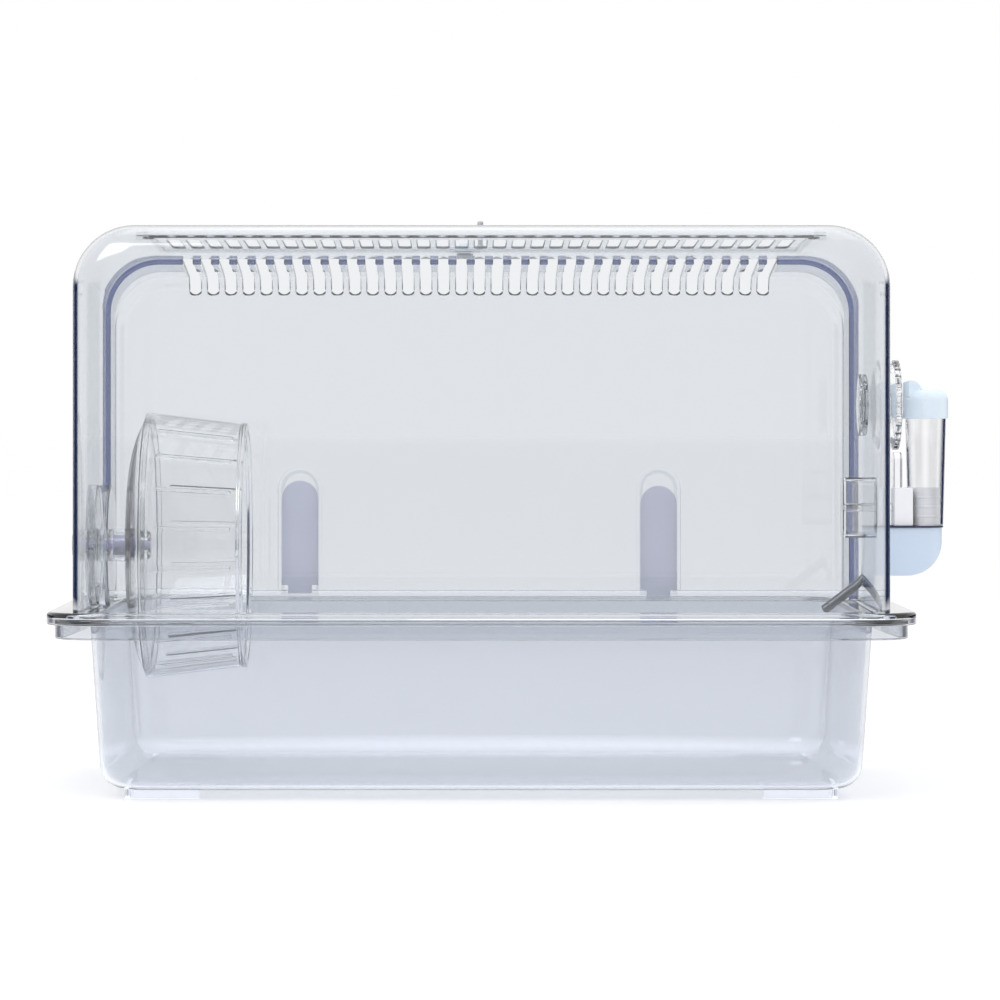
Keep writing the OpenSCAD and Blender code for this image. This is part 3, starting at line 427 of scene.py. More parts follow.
def makeFloor(s):
    # a white table top that goes on to the horizon and keeps a soft shadow. Far off it melts
    # into the white behind it, and under the gaps of the surroundings it shows them too. Seen
    # through the plastic it glows as painted light, most of all right under the object
    w = worldSettings
    material, add = newMaterial("whiteTable")
    rays, clear = clearRays(add)
    place = add("TexCoord").outputs["Object"]
    away = add("VectorMath", {"operation": "LENGTH"}, {0: place}).outputs["Value"]
    start, end = s["fade"]
    fade = add("MapRange", {"From Min": start * mm, "From Max": end * mm}, {"Value": away})
    grain = add("TexNoise", {"Scale": 1 / (40 * mm), "Detail": 2.0}, {"Vector": place})
    tone = add("ValToRGB", {}, {"Fac": grain})
    tone.color_ramp.elements[0].color = (s["tone"] - 0.01, s["tone"] - 0.01, s["tone"], 1)
    tone.color_ramp.elements[1].color = (s["tone"], s["tone"], s["tone"] + 0.01, 1)
    cloth = add("BsdfDiffuse", {}, {"Color": tone})
    lift = add("Math", {"operation": "MULTIPLY", 1: s["lift"]},
               {0: rays.outputs["Is Camera Ray"]})
    # painted light: seen through the plastic the table glows, strongest right beneath the object
    # and fading farther out, a painted pool of light that lifts the shadow there
    start, end = s["paintedGlowReach"]
    paintedGlow = add("MapRange", {"From Min": start * mm, "From Max": end * mm, "To Min": s["under"],
                             "To Max": s["through"]}, {"Value": away})
    lift = add("Math", {"operation": "MULTIPLY_ADD"}, {0: clear, 1: paintedGlow, 2: lift})
    glow = add("Emission", {"Color": (1, 1, 1, 1)}, {"Strength": lift})
    near = add("AddShader", {}, {0: cloth, 1: glow})
    far = add("Emission", {"Color": (1, 1, 1, 1), "Strength": 1.0})
    both = add("MixShader", {}, {0: fade, 1: near, 2: far})
    start, end = w["gapStart"]
    gap = add("MapRange", {"From Min": start * mm, "From Max": end * mm}, {"Value": away})
    notPanel = add("Math", {"operation": "SUBTRACT", 0: 1.0}, {1: panelLevel(add, place)})
    gap = add("Math", {"operation": "MULTIPLY"}, {0: gap, 1: notPanel})
    gap = add("Math", {"operation": "MULTIPLY"}, {0: gap, 1: clear})
    deep = add("Emission", {"Color": toLinear(w["gapColour"]), "Strength": 1.0})
    both = add("MixShader", {}, {0: gap, 1: both, 2: deep})
    add("OutputMaterial", {}, {"Surface": both})
    half = s["half"]
    corners = [(-half, -half, 0), (half, -half, 0), (half, half, 0), (-half, half, 0)]
    floor = pieceOf("table", [(corners, [[0, 1, 2, 3]])])
    floor.data.materials.append(material)


scene.view_settings.view_transform = "Standard"
makeCamera(cameraSettings)
makeWorld()
makeLamp("keyLamp", (-900, -1100, 1500), (0, 0, 150), (1200, 900), 12)
makeLamp("topLamp", (200, 300, 1700), (0, 0, 100), (1600, 1200), 3)
makeFloor(floorSettings)
print("camera, lamps and table set")


# The cover

coverLow, coverHigh = boxOf("dome_cover")
coverSettings = {
    "wall": 2.2, "roofBow": 2000, "eavesR": 34, "backR": 19, "frontR": 9,
    "flangeOut": 14, "flangeThick": 3, "lipDepth": 7, "lipThick": 2.5, "flangeCorner": 30,
    "arcSteps": 14, "roofSteps": 26,
    "wheelHole": 5.8, "hangerHole": 10.3, "nozzleHole": 6.0, "clampHole": 2.7,
}
halfX = coverHigh.x - coverSettings["flangeOut"]
halfY = coverHigh.y - coverSettings["flangeOut"]
flangeTop = coverLow.z + coverSettings["lipDepth"]
flangeLow = flangeTop - coverSettings["flangeThick"]
roofStart = -halfY + coverSettings["backR"]


def roofHeight(y):
    return coverHigh.z - (y - roofStart) ** 2 / (2 * coverSettings["roofBow"])


def coverRing(y, skin, inset, footZ):
    s = coverSettings
    width = halfX - skin - inset
    radius = s["eavesR"] - skin - inset
    level = roofHeight(y) - skin - inset - radius
    left = arcPoints((-width + radius, level), radius, 180, 90, s["arcSteps"])
    right = arcPoints((width - radius, level), radius, 90, 0, s["arcSteps"])
    return [(x, y, z) for x, z in [(-width, footZ)] + left + right + [(width, footZ)]]


def coverRings(skin, footZ):
    s = coverSettings
    back, front = s["backR"] - skin, s["frontR"] - skin
    roofEnd = halfY - s["frontR"]
    turns = [radians(90 * i / s["arcSteps"]) for i in range(s["arcSteps"] + 1)]
    rings = [coverRing(roofStart - back * cos(a), skin, back * (1 - sin(a)), footZ) for a in turns]
    for i in range(1, s["roofSteps"]):
        y = roofStart + (roofEnd - roofStart) * i / s["roofSteps"]
        rings.append(coverRing(y, skin, 0, footZ))
    turns.reverse()
    rings += [coverRing(roofEnd + front * cos(a), skin, front * (1 - sin(a)), footZ) for a in turns]
    return rings


def roofStrip(x0, x1, y0, y1, fromTop, toDepth, steps=24):
    ys = [y0 + (y1 - y0) * i / steps for i in range(steps + 1)]
    outline = [(y, roofHeight(y) - fromTop) for y in ys]
    outline += [(y, roofHeight(y) - toDepth) for y in reversed(ys)]
    return prismShape("x", outline, x0, x1)


def rimProfile(halfWidth, halfDepth, corner, pairs):
    # plan rings from (inset, height) pairs
    return [planRing(halfWidth - e, halfDepth - e, corner - e, z) for e, z in pairs]


hatchSettings = {
    "side": 39, "gap": 0.4, "hingeRoom": 1.2, "hingeR": 2, "pinR": 1, "pinLength": 5,
    "ledge": 3, "ledgeThick": 1.6, "length": 108, "hingeBack": 50,
    "slotLength": 67, "slotStart": 30, "knobBack": 8, "knobHole": 1.05,
    "earDrop": 3.2, "earWidth": 6, "earGap": 0.01,
}
slotSettings = {"pitch": 10.87, "width": 6.6, "lip": 0.7, "margin": 8, "run": 83, "drop": 12,
                "slant": 2.4}
clipSettings = {
    "x": 110, "width": 22.5, "length": 64, "edgeThick": 1.6, "thick": 4, "edge": 2,
    "tongueWidth": 14.5, "tongueLength": 5.2, "tongueThick": 2.8, "travel": 9.4,
    "channel": 2, "gap": 0.3, "ribs": (38, 42, 46), "ribWidth": 12, "ribThick": 1.5, "ribOut": 0.9,
}
latchSettings = {"x": -9, "barLength": 20, "tongueWidth": 7.3, "tongueLength": 22, "travel": 6,
                 "gap": 0.3}

bandSettings = {"start": 68.5, "end": 100, "thick": 3, "soft": 0.4, "foot": flangeTop - 2}

openingX = halfX - hatchSettings["side"]
hingeY = -halfY + hatchSettings["hingeBack"]
hingeZ = roofHeight(hingeY) - hatchSettings["hingeR"]
lipY = hingeY + hatchSettings["length"]


def slotPlaces():
    s = slotSettings
    count = int((2 * openingX - 2 * s["margin"] + s["pitch"] - s["width"]) / s["pitch"])
    return [(i - (count - 1) / 2) * s["pitch"] for i in range(count)]


def latchFrame():
    y = lipY + 2 + latchSettings["barLength"] / 2
    slope = atan((y - roofStart) / coverSettings["roofBow"])
    turn = Matrix.Rotation(-slope, 4, "X")
    return Matrix.Translation((latchSettings["x"], y, roofHeight(y))) @ turn


def placed(shape, matrix):
    points, faces = shape
    return [tuple(matrix @ Vector(p)) for p in points], faces


def clipTongueSlot(x, low, high):
    s = clipSettings
    half = s["tongueWidth"] / 2 + s["gap"]
    front = halfY + s["tongueThick"] + 2 * s["gap"]
    return blockShape((x - half, halfY, low), (x + half, front, high))


def onCover(u, depth):
    # a place on the middle profile: u runs along the roof, over its front edge and down the wall
    r = coverSettings["frontR"]
    roofEnd = halfY - r
    turn = r * pi / 2
    if u <= roofEnd:
        return u, roofHeight(u) - depth
    if u <= roofEnd + turn:
        a = pi / 2 - (u - roofEnd) / r
        y = roofEnd + (r - depth) * cos(a)
        return y, roofHeight(y) - depth - (r - depth) * (1 - sin(a))
    return halfY - depth, roofHeight(halfY - depth) - r - (u - roofEnd - turn)


def lippedSlot(x, start, end, sides, slant=0.0):
    # the cutter flares at both faces of the wall, so the slot gets rounded lips
    wall, lip = coverSettings["wall"], slotSettings["lip"]
    half = slotSettings["width"] / 2
    levels = [(-1.0, lip), (-0.03, lip), (0.08 * wall, 0.55 * lip), (0.2 * wall, 0.2 * lip),
              (0.38 * wall, 0), (0.62 * wall, 0), (0.8 * wall, 0.2 * lip),
              (0.92 * wall, 0.55 * lip), (wall + 0.03, lip), (wall + 1.0, lip)]
    rings = []
    for depth, grow in levels:
        r = half + grow
        low = start + half
        high = end - half + slant * (0.5 - min(max(depth / wall, 0), 1))
        along = [(r, low + (high - low) * i / sides) for i in range(1, sides)]
        outline = arcPoints((0, high), r, 0, 180, 10) + [(-w, u) for w, u in reversed(along)]
        outline += arcPoints((0, low), r, 180, 360, 10) + along
        rings.append([(x + w, *onCover(u, depth)) for w, u in outline])
    # its ends follow the bend of the cover too, in strips from side to side
    points, faces = loftShape(rings)
    size = len(rings[0])
    strips = []
    for base in (0, len(points) - size):
        for i in range(size // 2):
            strip = [base + (5 + k) % size for k in (i, i + 1, -i - 1, -i)]
            strips.append(list(dict.fromkeys(strip)))
    return points, strips + faces[2:]


def frontSlot(x):
    wallEnd = halfY - coverSettings["frontR"] * (1 - pi / 2)
    end = wallEnd + slotSettings["drop"] - coverSettings["frontR"]
    return lippedSlot(x, halfY - slotSettings["run"], end, 36, slotSettings["slant"])


def makeInnerBand():
    # a band of deeper blue round the inside, where the front part of the moulding begins
    b, wall = bandSettings, coverSettings["wall"] + 0.05
    ys = [b["start"], b["start"] + b["soft"], b["end"] - b["soft"], b["end"]]
    ins = [b["thick"] - b["soft"], b["thick"], b["thick"], b["thick"] - b["soft"]]
    band = pieceOf("coverInnerBand", [loftShape([coverRing(y, wall, 0, b["foot"]) for y in ys])])
    ends = [ys[0] - 1] + ys + [ys[-1] + 1]
    depths = [ins[0]] + ins + [ins[-1]]
    hollow = [coverRing(y, wall + e, 0, b["foot"] - 5) for y, e in zip(ends, depths)]
    carve(band, [loftShape(hollow)])
    width = slotSettings["width"] + slotSettings["lip"]
    carve(band, [prismShape("z", slotOutline(x, width, halfY - slotSettings["run"], halfY + width),
                            b["foot"] + 100, coverHigh.z) for x in slotPlaces()])
    finishPiece(band, "cover", "band")


def flangeShape():
    s = coverSettings
    e = s["lipThick"]
    low = flangeTop - s["lipDepth"]
    pairs = [(e + 0.5, flangeLow), (e, flangeLow - 0.5)]
    pairs += arcPoints((e - 1, low + 1), 1, 0, -90, 4)
    pairs += arcPoints((1, low + 1), 1, -90, -180, 4)
    pairs += arcPoints((2.0, flangeTop - 2.0), 2.0, 180, 90, 7)
    pairs += [(4, flangeTop), (7, flangeTop)]
    out = s["flangeOut"]
    return loftShape(rimProfile(halfX + out, halfY + out, s["flangeCorner"], pairs))


def archLoft(x, half, low, high, rings, footInset=1):
    # a plate with an arched top, lofted along Y through (y, inset) pairs
    plans = [(y, archOutline(x, half - e, low + footInset * e, high - e)) for y, e in rings]
    return loftShape([[(px, y, pz) for px, pz in plan] for y, plan in plans])


def channelShapes(x):
    s = clipSettings
    back = s["width"] / 2 + s["gap"]
    lip = s["width"] / 2 - s["edge"] + s["gap"]
    out = back + s["channel"]
    foot = flangeTop - 0.5
    top = flangeTop + s["gap"] + s["length"] + s["travel"] + s["gap"] / 2
    lipY0 = halfY + 2 * s["gap"] + s["edgeThick"]
    high = top + out - back
    face = lipY0 + s["channel"]
    soft = 0.6
    outer = archLoft(x, out, foot, high, ((halfY - 1, 0), (face - soft, 0),
                                          (face - 0.3 * soft, 0.1), (face, soft)), 0)
    wide = prismShape("y", archOutline(x, back, foot - 5, top), halfY, lipY0)
    narrow = prismShape("y", archOutline(x, lip, foot - 5, high - (out - lip)), halfY, face + 5)
    return outer, wide, narrow


def makeCover():
    s, h, c = coverSettings, hatchSettings, clipSettings
    cover = pieceOf("coverShell", [loftShape(coverRings(0, flangeLow + 1))])
    join(cover, [flangeShape()])
    carve(cover, [loftShape(coverRings(s["wall"], coverLow.z - 10))])
    # a ledge hangs from the roof round three sides of the opening, and the hatch rests on it
    top = s["wall"] + 0.3
    bottom = top + h["ledgeThick"]
    out = lipY + h["gap"] + h["ledge"]
    side, inner = openingX + h["ledge"], openingX - h["ledge"]
    start = hingeY + 4 * h["hingeR"]
    join(cover, [roofStrip(-side, side, start, out, 1.1, bottom)])
    carve(cover, [roofStrip(-openingX, openingX, hingeY - h["hingeR"] - h["hingeRoom"],
                            lipY + h["gap"], -1, top)])
    carve(cover, [roofStrip(-inner, inner, start - 1, lipY - h["ledge"], top - 1, bottom + 1)])
    wide = 2 * h["hingeR"]
    start, end = openingX + h["earGap"], openingX + h["earGap"] + h["earWidth"]
    foot = hingeZ - h["earDrop"]
    ears = [blockShape((low, hingeY - wide, foot), (high, hingeY + wide, hingeZ + 1))
            for low, high in ((start, end), (-end, -start))]
    join(cover, ears)
    channels = [channelShapes(sign * c["x"]) for sign in (-1, 1)]
    join(cover, [shape[0] for shape in channels])
    carve(cover, [shape[1] for shape in channels])
    carve(cover, [shape[2] for shape in channels])
    carve(cover, [frontSlot(x) for x in slotPlaces()])
    t = latchSettings
    half, stop = t["tongueWidth"] / 2 + t["gap"], t["barLength"] / 2
    latchCut = blockShape((-half, stop - t["travel"] - t["gap"], -4),
                          (half, stop + t["tongueLength"] + t["gap"], 1))
    carve(cover, [placed(latchCut, latchFrame())])
    carve(cover, [clipTongueSlot(sign * c["x"], flangeLow - 1, flangeTop + 1) for sign in (-1, 1)])
    carve(cover, [rodShape("x", (0, wheelZ), s["wheelHole"], -halfX - 1, -halfX + 4),
                  rodShape("x", (0, hangerZ), s["hangerHole"], halfX - 4, halfX + 1),
                  rodShape("x", (0, nozzleWallZ), s["nozzleHole"], halfX - 4, halfX + 1),
                  rodShape("x", (0, clampZ), s["clampHole"], halfX - 4, halfX + 1)])
    bore, pin, line = h["pinR"] + runningFit, h["pinLength"], (hingeY, hingeZ)
    carve(cover, [rodShape("x", line, bore, openingX - 1, openingX + pin, 32),
                  rodShape("x", line, bore, -openingX - pin, -openingX + 1, 32)])
    finishPiece(cover, "cover", "cover", "dome_cover")


wheelZ, hangerZ = middleOf("wheel_drum", 2), middleOf("hanger_ring", 2)
clampZ = middleOf("inner_clamp", 2)
nozzleWallZ = 118.5

makeCover()
makeInnerBand()
print("cover moulded")


# The tray

trayHigh = boxOf("base_tray")[1]
traySettings = {
    "step": 8, "lean": 6, "wall": 2.5, "bottomR": 13, "cornerR": 27, "foot": 5,
    "rimIn": 4.5, "rimThick": 2.5, "rimDepth": 11.5, "footLong": 41, "footDeep": 30,
    "footThick": 2.5, "footInset": 14, "nubPitch": 135, "nubWidth": 4.5,
    "nubHeight": 2, "nubOut": 0.7,
}


def makeTray():
    s = traySettings
    top = trayHigh.z
    rimX = coverHigh.x - s["rimIn"]
    rimY = coverHigh.y - s["rimIn"]
    rimCorner = coverSettings["flangeCorner"] - s["rimIn"]

    def wallRing(edge, z):
        lean = s["lean"] * (top - z) / (top - s["foot"])
        inset = s["step"] + lean + edge
        return planRing(halfX - inset, halfY - inset, s["cornerR"] - edge, z)

    def bottomRings(skin):
        radius = s["bottomR"] - skin
        turns = [radians(90 * i / 12) for i in range(13)]
        return [wallRing(skin + radius * (1 - sin(a)), s["foot"] + skin + radius * (1 - cos(a)))
                for a in turns]

    rings = bottomRings(s["wall"])
    rings += [wallRing(s["wall"], top - 30), wallRing(s["wall"], top - 0.9)]
    rings += [wallRing(s["wall"] - 0.1, top - 0.4), wallRing(s["wall"] - 0.45, top - 0.1),
              wallRing(s["wall"] - 1.0, top)]
    lip = coverSettings["lipThick"]
    low = top - s["rimDepth"]
    under = top - s["rimThick"]
    pairs = [(4.0, top)] + arcPoints((1.8, top - 1.8), 1.8, 90, 180, 7)
    pairs += arcPoints((1.1, low + 1.1), 1.1, 180, 270, 4)
    pairs += arcPoints((lip - 1.1, low + 1.1), 1.1, -90, 0, 4)
    pairs += [(lip, under - 0.6), (lip + 0.2, under - 0.2), (lip + 0.6, under)]
    rings += rimProfile(rimX, rimY, rimCorner, pairs)
    rings += [wallRing(-0.7, under), wallRing(-0.2, under - 0.2), wallRing(0, under - 0.7),
              wallRing(0, top - 30)]
    rings += list(reversed(bottomRings(0)))
    tray = pieceOf("trayShell", [loftShape(rings)])
    footX = halfX - s["step"] - s["lean"] - s["footInset"]
    footY = halfY - s["step"] - s["lean"] - s["footInset"] - 2
    farX, farY = footX - s["footLong"], footY - s["footDeep"]
    inX, inY = footX - s["footThick"], footY - s["footThick"]
    level = s["foot"] + s["wall"] / 2
    ribs = []
    for sx in (-1, 1):
        for sy in (-1, 1):
            outline = filleted([(farX, footY), (footX, footY), (footX, farY), (inX, farY),
                                (inX, inY), (farX, inY)], 0.6, 3)
            ribs.append(prismShape("z", [(sx * x, sy * y) for x, y in outline], 0, level))
    join(tray, ribs)
    nubZ = top - s["rimDepth"] / 2
    nubs = []
    for x in (-s["nubPitch"], 0, s["nubPitch"]):
        for sy in (-1, 1):
            back, front = sorted((sy * (rimY - 1), sy * (rimY + s["nubOut"])))
            nubs.append(blockShape((x - s["nubWidth"] / 2, back, nubZ - s["nubHeight"] / 2),
                                   (x + s["nubWidth"] / 2, front, nubZ + s["nubHeight"] / 2)))
    join(tray, nubs)
    carve(tray, [clipTongueSlot(sign * clipSettings["x"], under - 1, top + 1) for sign in (-1, 1)])
    finishPiece(tray, "tray", "tray", "base_tray")


makeTray()
print("tray moulded")


# The roof hatch

def makeHatch():
    h = hatchSettings
    half, line = openingX - h["gap"], (hingeY, hingeZ)
    panel = roofStrip(-half, half, hingeY, lipY, 0, coverSettings["wall"], 30)
    hatch = pieceOf("hatchPanel", [panel])
    join(hatch, [rodShape("x", line, h["hingeR"], -half, half, 40)])
    pin = half + h["pinLength"] - h["gap"]
    join(hatch, [rodShape("x", line, h["pinR"], -pin, pin, 32)])
    start = hingeY + h["slotStart"]
    carve(hatch, [lippedSlot(x, start, start + h["slotLength"], 12) for x in slotPlaces()])
    knobAt = (0, lipY - h["knobBack"])
    carve(hatch, [rodShape("z", knobAt, h["knobHole"], hingeZ - 12, hingeZ + 12, 24)])
    finishPiece(hatch, "hatch", "cover", "roof_hatch")


makeHatch()
print("hatch moulded")


# The running wheel and what carries it

wheelLow, wheelHigh = boxOf("wheel_drum")
discLow, discHigh = boxOf("wheel_mount_disc")
wheelSettings = {
    "backR": 76.85, "frontR": 70.75, "rimBand": 4.2, "wall": 1.8, "step": 0.45,
    "domeDepth": 12.2, "domeFullness": 4,
    "hubR": 9.5, "hubLength": 14.6, "rungs": 20, "rungWidth": 2.2, "rungHeight": 2.0,
    "rungEnds": 6.5,
    "axleR": 5.85, "bearing": 1.35, "discR": 35, "discDepth": 9, "discSkin": 2.2, "stemR": 5.5,
    "pegR": 3, "pegLength": 5, "nutR": 8.5, "nutLength": 11, "nutGrips": 12, "endPlay": 0.5,
}
rimX = wheelLow.x + 2
frontX = wheelHigh.x
discX = discHigh.x - 1
discX0 = discX - wheelSettings["discDepth"]
hubX0 = rimX - 21
hubX1 = hubX0 + wheelSettings["hubLength"]
axleEnd = hubX1 + wheelSettings["endPlay"]


def alongX(z):
    return Matrix.Translation((0, 0, z)) @ Matrix.Rotation(radians(90), 4, "Y")


def pieceName(node):
    first, *others = node.split("_")
    return first + "".join(word.title() for word in others)


def turnedPiece(node, profile, place, radius=0.5, steps=128, closed=True):
    # a profile that starts and ends on the axis is open, and its ends stay where they are
    outline = filleted(profile, radius, 4, closed)
    return pieceOf(pieceName(node), [turnedShape(outline, steps, place)])


def turnPart(node, body, kind, *turning):
    finishPiece(turnedPiece(node, *turning), body, kind, node)


def ringOfRods(count, reach, z, radius, start, end, steps):
    # rods along X, spread round a circle at height z
    turns = [2 * pi * i / count for i in range(count)]
    return [rodShape("x", (reach * sin(a), z + reach * cos(a)), radius, start, end, steps)
            for a in turns]


def domeX(r):
    s = wheelSettings
    return rimX - 1 - s["domeDepth"] * (1 - (r / s["backR"]) ** s["domeFullness"])


def makeWheelDrum():
    s = wheelSettings
    out0, out1 = s["backR"] - s["step"], s["frontR"] - s["step"]
    profile = [(s["backR"], rimX - 2), (s["backR"], rimX + 1.5), (out0, rimX + 3),
               (out1, frontX - 3.5), (s["frontR"], frontX - 3), (s["frontR"], frontX),
               (s["frontR"] - s["rimBand"], frontX), (s["frontR"] - s["rimBand"], frontX - 1.8),
               (out1 - s["wall"], frontX - 3.5), (out0 - s["wall"], rimX + 3),
               (s["backR"] - s["wall"], rimX + 1.6), (s["backR"] - s["wall"], rimX - 2)]
    drum = turnedPiece("wheel_drum", profile, alongX(wheelZ), 0.7, 160)
    lean = atan((out0 - out1) / (frontX - rimX - 6.5))
    half = (frontX - rimX) / 2 - s["rungEnds"]
    middle = (out0 + out1) / 2 - s["wall"] + 0.4
    bars = []
    for i in range(s["rungs"]):
        turn = Matrix.Rotation(radians((i + 0.5) * 360 / s["rungs"]), 4, "X")
        place = (Matrix.Translation((0, 0, wheelZ)) @ turn
                 @ Matrix.Translation(((rimX + frontX) / 2, 0, middle))
                 @ Matrix.Rotation(lean, 4, "Y") @ Matrix.Rotation(radians(-90), 4, "Z"))
        tip = -s["rungHeight"]
        rings = []
        for z, e in ((tip, 0.4), (tip + 0.15, 0.15), (tip + 0.5, 0), (0, 0)):
            plan = slotOutline(0, s["rungWidth"] - 2 * e, e - half, half - e, 6)
            rings.append([(x, y, z) for x, y in plan])
        bars.append(placed(loftShape(rings), place))
    join(drum, bars)
    finishPiece(drum, "wheel", "wheel", "wheel_drum")


def makeWheelBack():
    s = wheelSettings
    bore = s["axleR"] + 2 * snugFit + s["bearing"]
    edge = s["backR"] - s["wall"] - snugFit
    rs = [s["hubR"] + (edge - 1 - s["hubR"]) * (i / 16) ** 0.8 for i in range(17)]
    profile = [(bore, hubX0), (s["hubR"], hubX0)] + [(r, domeX(r)) for r in rs]
    profile += [(edge, rimX - 1), (edge, rimX + 1.5), (edge - 2, rimX + 1.5)]
    profile += [(r - (1 if r == rs[-1] else 0), domeX(r) + s["wall"]) for r in reversed(rs)]
    profile += [(s["hubR"], hubX1), (bore, hubX1)]
    turnPart("wheel_back", "wheel", "wheel", profile, alongX(wheelZ), 0.5, 160)


def makeWheelFittings():
    s = wheelSettings
    place = alongX(wheelZ)
    face = discX - s["discSkin"]
    stemX = discLow.x
    inner = s["discR"] - s["discSkin"]
    hole, depth = s["pegR"] + snugFit, discX + 0.5 - s["pegLength"]
    disc = [(0, stemX), (s["stemR"], stemX), (s["stemR"], discX0), (s["hubR"], discX0),
            (s["hubR"], face), (inner, face), (inner, discX0), (s["discR"], discX0),
            (s["discR"], discX), (s["hubR"], discX), (s["hubR"], discX + 1),
            (hole, discX + 1), (hole, depth), (0, depth)]
    turnPart("wheel_mount_disc", "cover", "fitting", disc, place, 0.9, 128, False)

    nutX1 = -halfX - 0.3
    nutX0 = nutX1 - s["nutLength"]
    bore = s["stemR"] + 0.08
    nut = [(0, nutX0), (s["nutR"] - 1.5, nutX0), (s["nutR"], nutX0 + 1.5), (s["nutR"], nutX1),
           (bore, nutX1), (bore, nutX0 + 1.4), (0, nutX0 + 1.4)]
    piece = turnedPiece("wheel_nut", nut, place, 0.5, 96, False)
    carve(piece, ringOfRods(s["nutGrips"], s["nutR"] + 0.3, wheelZ, 0.9, nutX0 - 1, nutX1 - 2, 16))
    finishPiece(piece, "wheel_nut", "fitting", "wheel_nut")

    start, end, peg = discX + 1, axleEnd, s["pegLength"]
    axle = [(0, start - peg), (s["pegR"], start - peg), (s["pegR"], start), (s["axleR"], start),
            (s["axleR"], end), (s["pegR"], end), (s["pegR"], end + peg), (0, end + peg)]
    turnPart("wheel_axle", "cover", "violet", axle, place, 0.3, 96, False)

    low = s["axleR"] + snugFit
    high = low + s["bearing"]
    ring = [(low, hubX0), (high, hubX0), (high, hubX1), (low, hubX1)]
    turnPart("wheel_bearing", "wheel", "bearing", ring, place, 0.2, 96)

    r, far = s["hubR"] - 1, end + peg + 1
    cap = [(0, far - 0.9), (hole, far - 0.9), (hole, end), (r, end), (r, far - 2), (r - 2, far),
           (0, far)]
    turnPart("wheel_end_cap", "cover", "fitting", cap, place, 0.5, 96, False)


makeWheelDrum()
makeWheelBack()
makeWheelFittings()
print("wheel turned")


# The bottle hanger: hub through the wall, ring inside, twist disc outside

hangerSettings = {
    "hubR": 10, "noseR": 6, "ringR": 18, "lugs": 6, "twistR": 26, "twistRim": 3.5, "twistOut": 17.3,
    "twistBack": 5.7, "shell": 2, "notches": 28, "notchR": 1.2, "pegR": 3.8, "pegDrop": 7.5,
    "pegOut": 2.3, "lugR": 2.6,
}


def makeHanger():
    s = hangerSettings
    inside, wallX = halfX - coverSettings["wall"], halfX
    twist1, twist0 = wallX + s["twistOut"], wallX + s["twistBack"]
    head, nose, hubR = twist1 - 1.6, s["noseR"], s["hubR"]
    place = alongX(hangerZ)
    hub = [(0, inside - 4), (hubR, inside - 4), (hubR, wallX + 0.3), (hubR + 4, wallX + 0.3),
           (hubR + 4, wallX + 3.3), (hubR - 1, wallX + 3.3), (hubR - 1, twist0 - 0.4),
           (nose, twist0 - 0.4), (nose, head), (nose + 1.4, head), (nose + 0.9, head + 1),
           (0, head + 1)]
    turnPart("hanger_hub", "cover", "fitting", hub, place, 0.4, 96, False)

    end, bore, r = inside - 0.3, hubR + runningFit, s["ringR"]
    ring = [(bore, end - 3), (r - 1, end - 3), (r, end - 2), (r, end), (bore, end)]
    piece = turnedPiece("hanger_ring", ring, place, 0.4, 96)
    carve(piece, ringOfRods(s["lugs"], r + 1.2, hangerZ, s["lugR"], end - 4, end - 1, 24))
    finishPiece(piece, "hanger_ring", "fitting", "hanger_ring")

    boss, rim, r, bore = nose + 4, s["twistR"] - 5, s["twistR"], nose + runningFit
    back, skin = twist1 - s["twistRim"], s["shell"]
    disc = [(bore, twist0), (boss, twist0 + 0.4), (0.75 * r, twist0 + 3), (r - 1, back), (r, back),
            (r, twist1), (rim, twist1), (0.72 * r, twist0 + 3 + skin), (boss, twist0 + 1 + skin),
            (boss, twist1), (nose + 1.8, twist1), (nose + 1.8, twist1 - 1.9), (bore, twist1 - 1.9)]
    piece = turnedPiece("twist_disc", disc, place, 0.5, 168)
    carve(piece, ringOfRods(s["notches"], r + 0.5, hangerZ, s["notchR"], back - 1, twist1 + 1, 18))
    start, tip, pegR = twist1 - 0.4, twist1 + s["pegOut"], s["pegR"]
    peg = filleted([(0, start), (pegR, start), (pegR, tip), (0, tip)], 0.6, 4, False)
    join(piece, [turnedShape(peg, 48, alongX(hangerZ - s["pegDrop"]))])
    finishPiece(piece, "twist", "fitting", "twist_disc")


makeHanger()
print("hanger turned")


# The water bottle on its drinking base

bodyLow, bodyHigh = boxOf("bottle_body")
gasketLow, gasketHigh = boxOf("base_gasket")
baseLow = boxOf("bottle_base")[0]
cradleLow, cradleHigh = boxOf("bottle_cradle")
bottleSettings = {
    "footR": 10.2, "topR": 12, "wall": 1.3, "capR": 13.1, "capHeight": 16.8, "capLap": 6,
    "capEdge": 6, "capSkin": 2.5, "humpX": -9, "humpR": 6.3, "humpHeight": 5.2, "humpWidth": 16,
    "baseX": 0.4, "baseHalf": 12.4, "baseHeight": 27.7, "baseRound": 21.6, "chamber": 18,
    "lip": 0.8, "spigotR": 5.7, "spigotStep": 0.8, "collarThick": 1.6, "collarHeight": 22,
    "ridge": 0.25, "plateWidth": 16, "plateHeight": 20.5, "plateThick": 4.8,
}
bottleX = middleOf("bottle_body", 0)
bottleLine = Matrix.Translation((bottleX, 0, 0))
gasketZ = gasketLow.z
collarR = bottleSettings["footR"] - bottleSettings["wall"] - 0.4


def basePlan(grow, x0, x1):
    r = bottleSettings["baseHalf"] + grow
    return [(x0, -r)] + arcPoints((x1 + grow - r, 0), r, -90, 90, 48) + [(x0, r)]


def bevelled(piece, width, angle=40, segments=3):
    change = piece.modifiers.new("bevel", "BEVEL")
    change.width = width * mm
    change.segments = segments
    change.limit_method = "ANGLE"
    change.angle_limit = radians(angle)
    applyModifiers(piece)


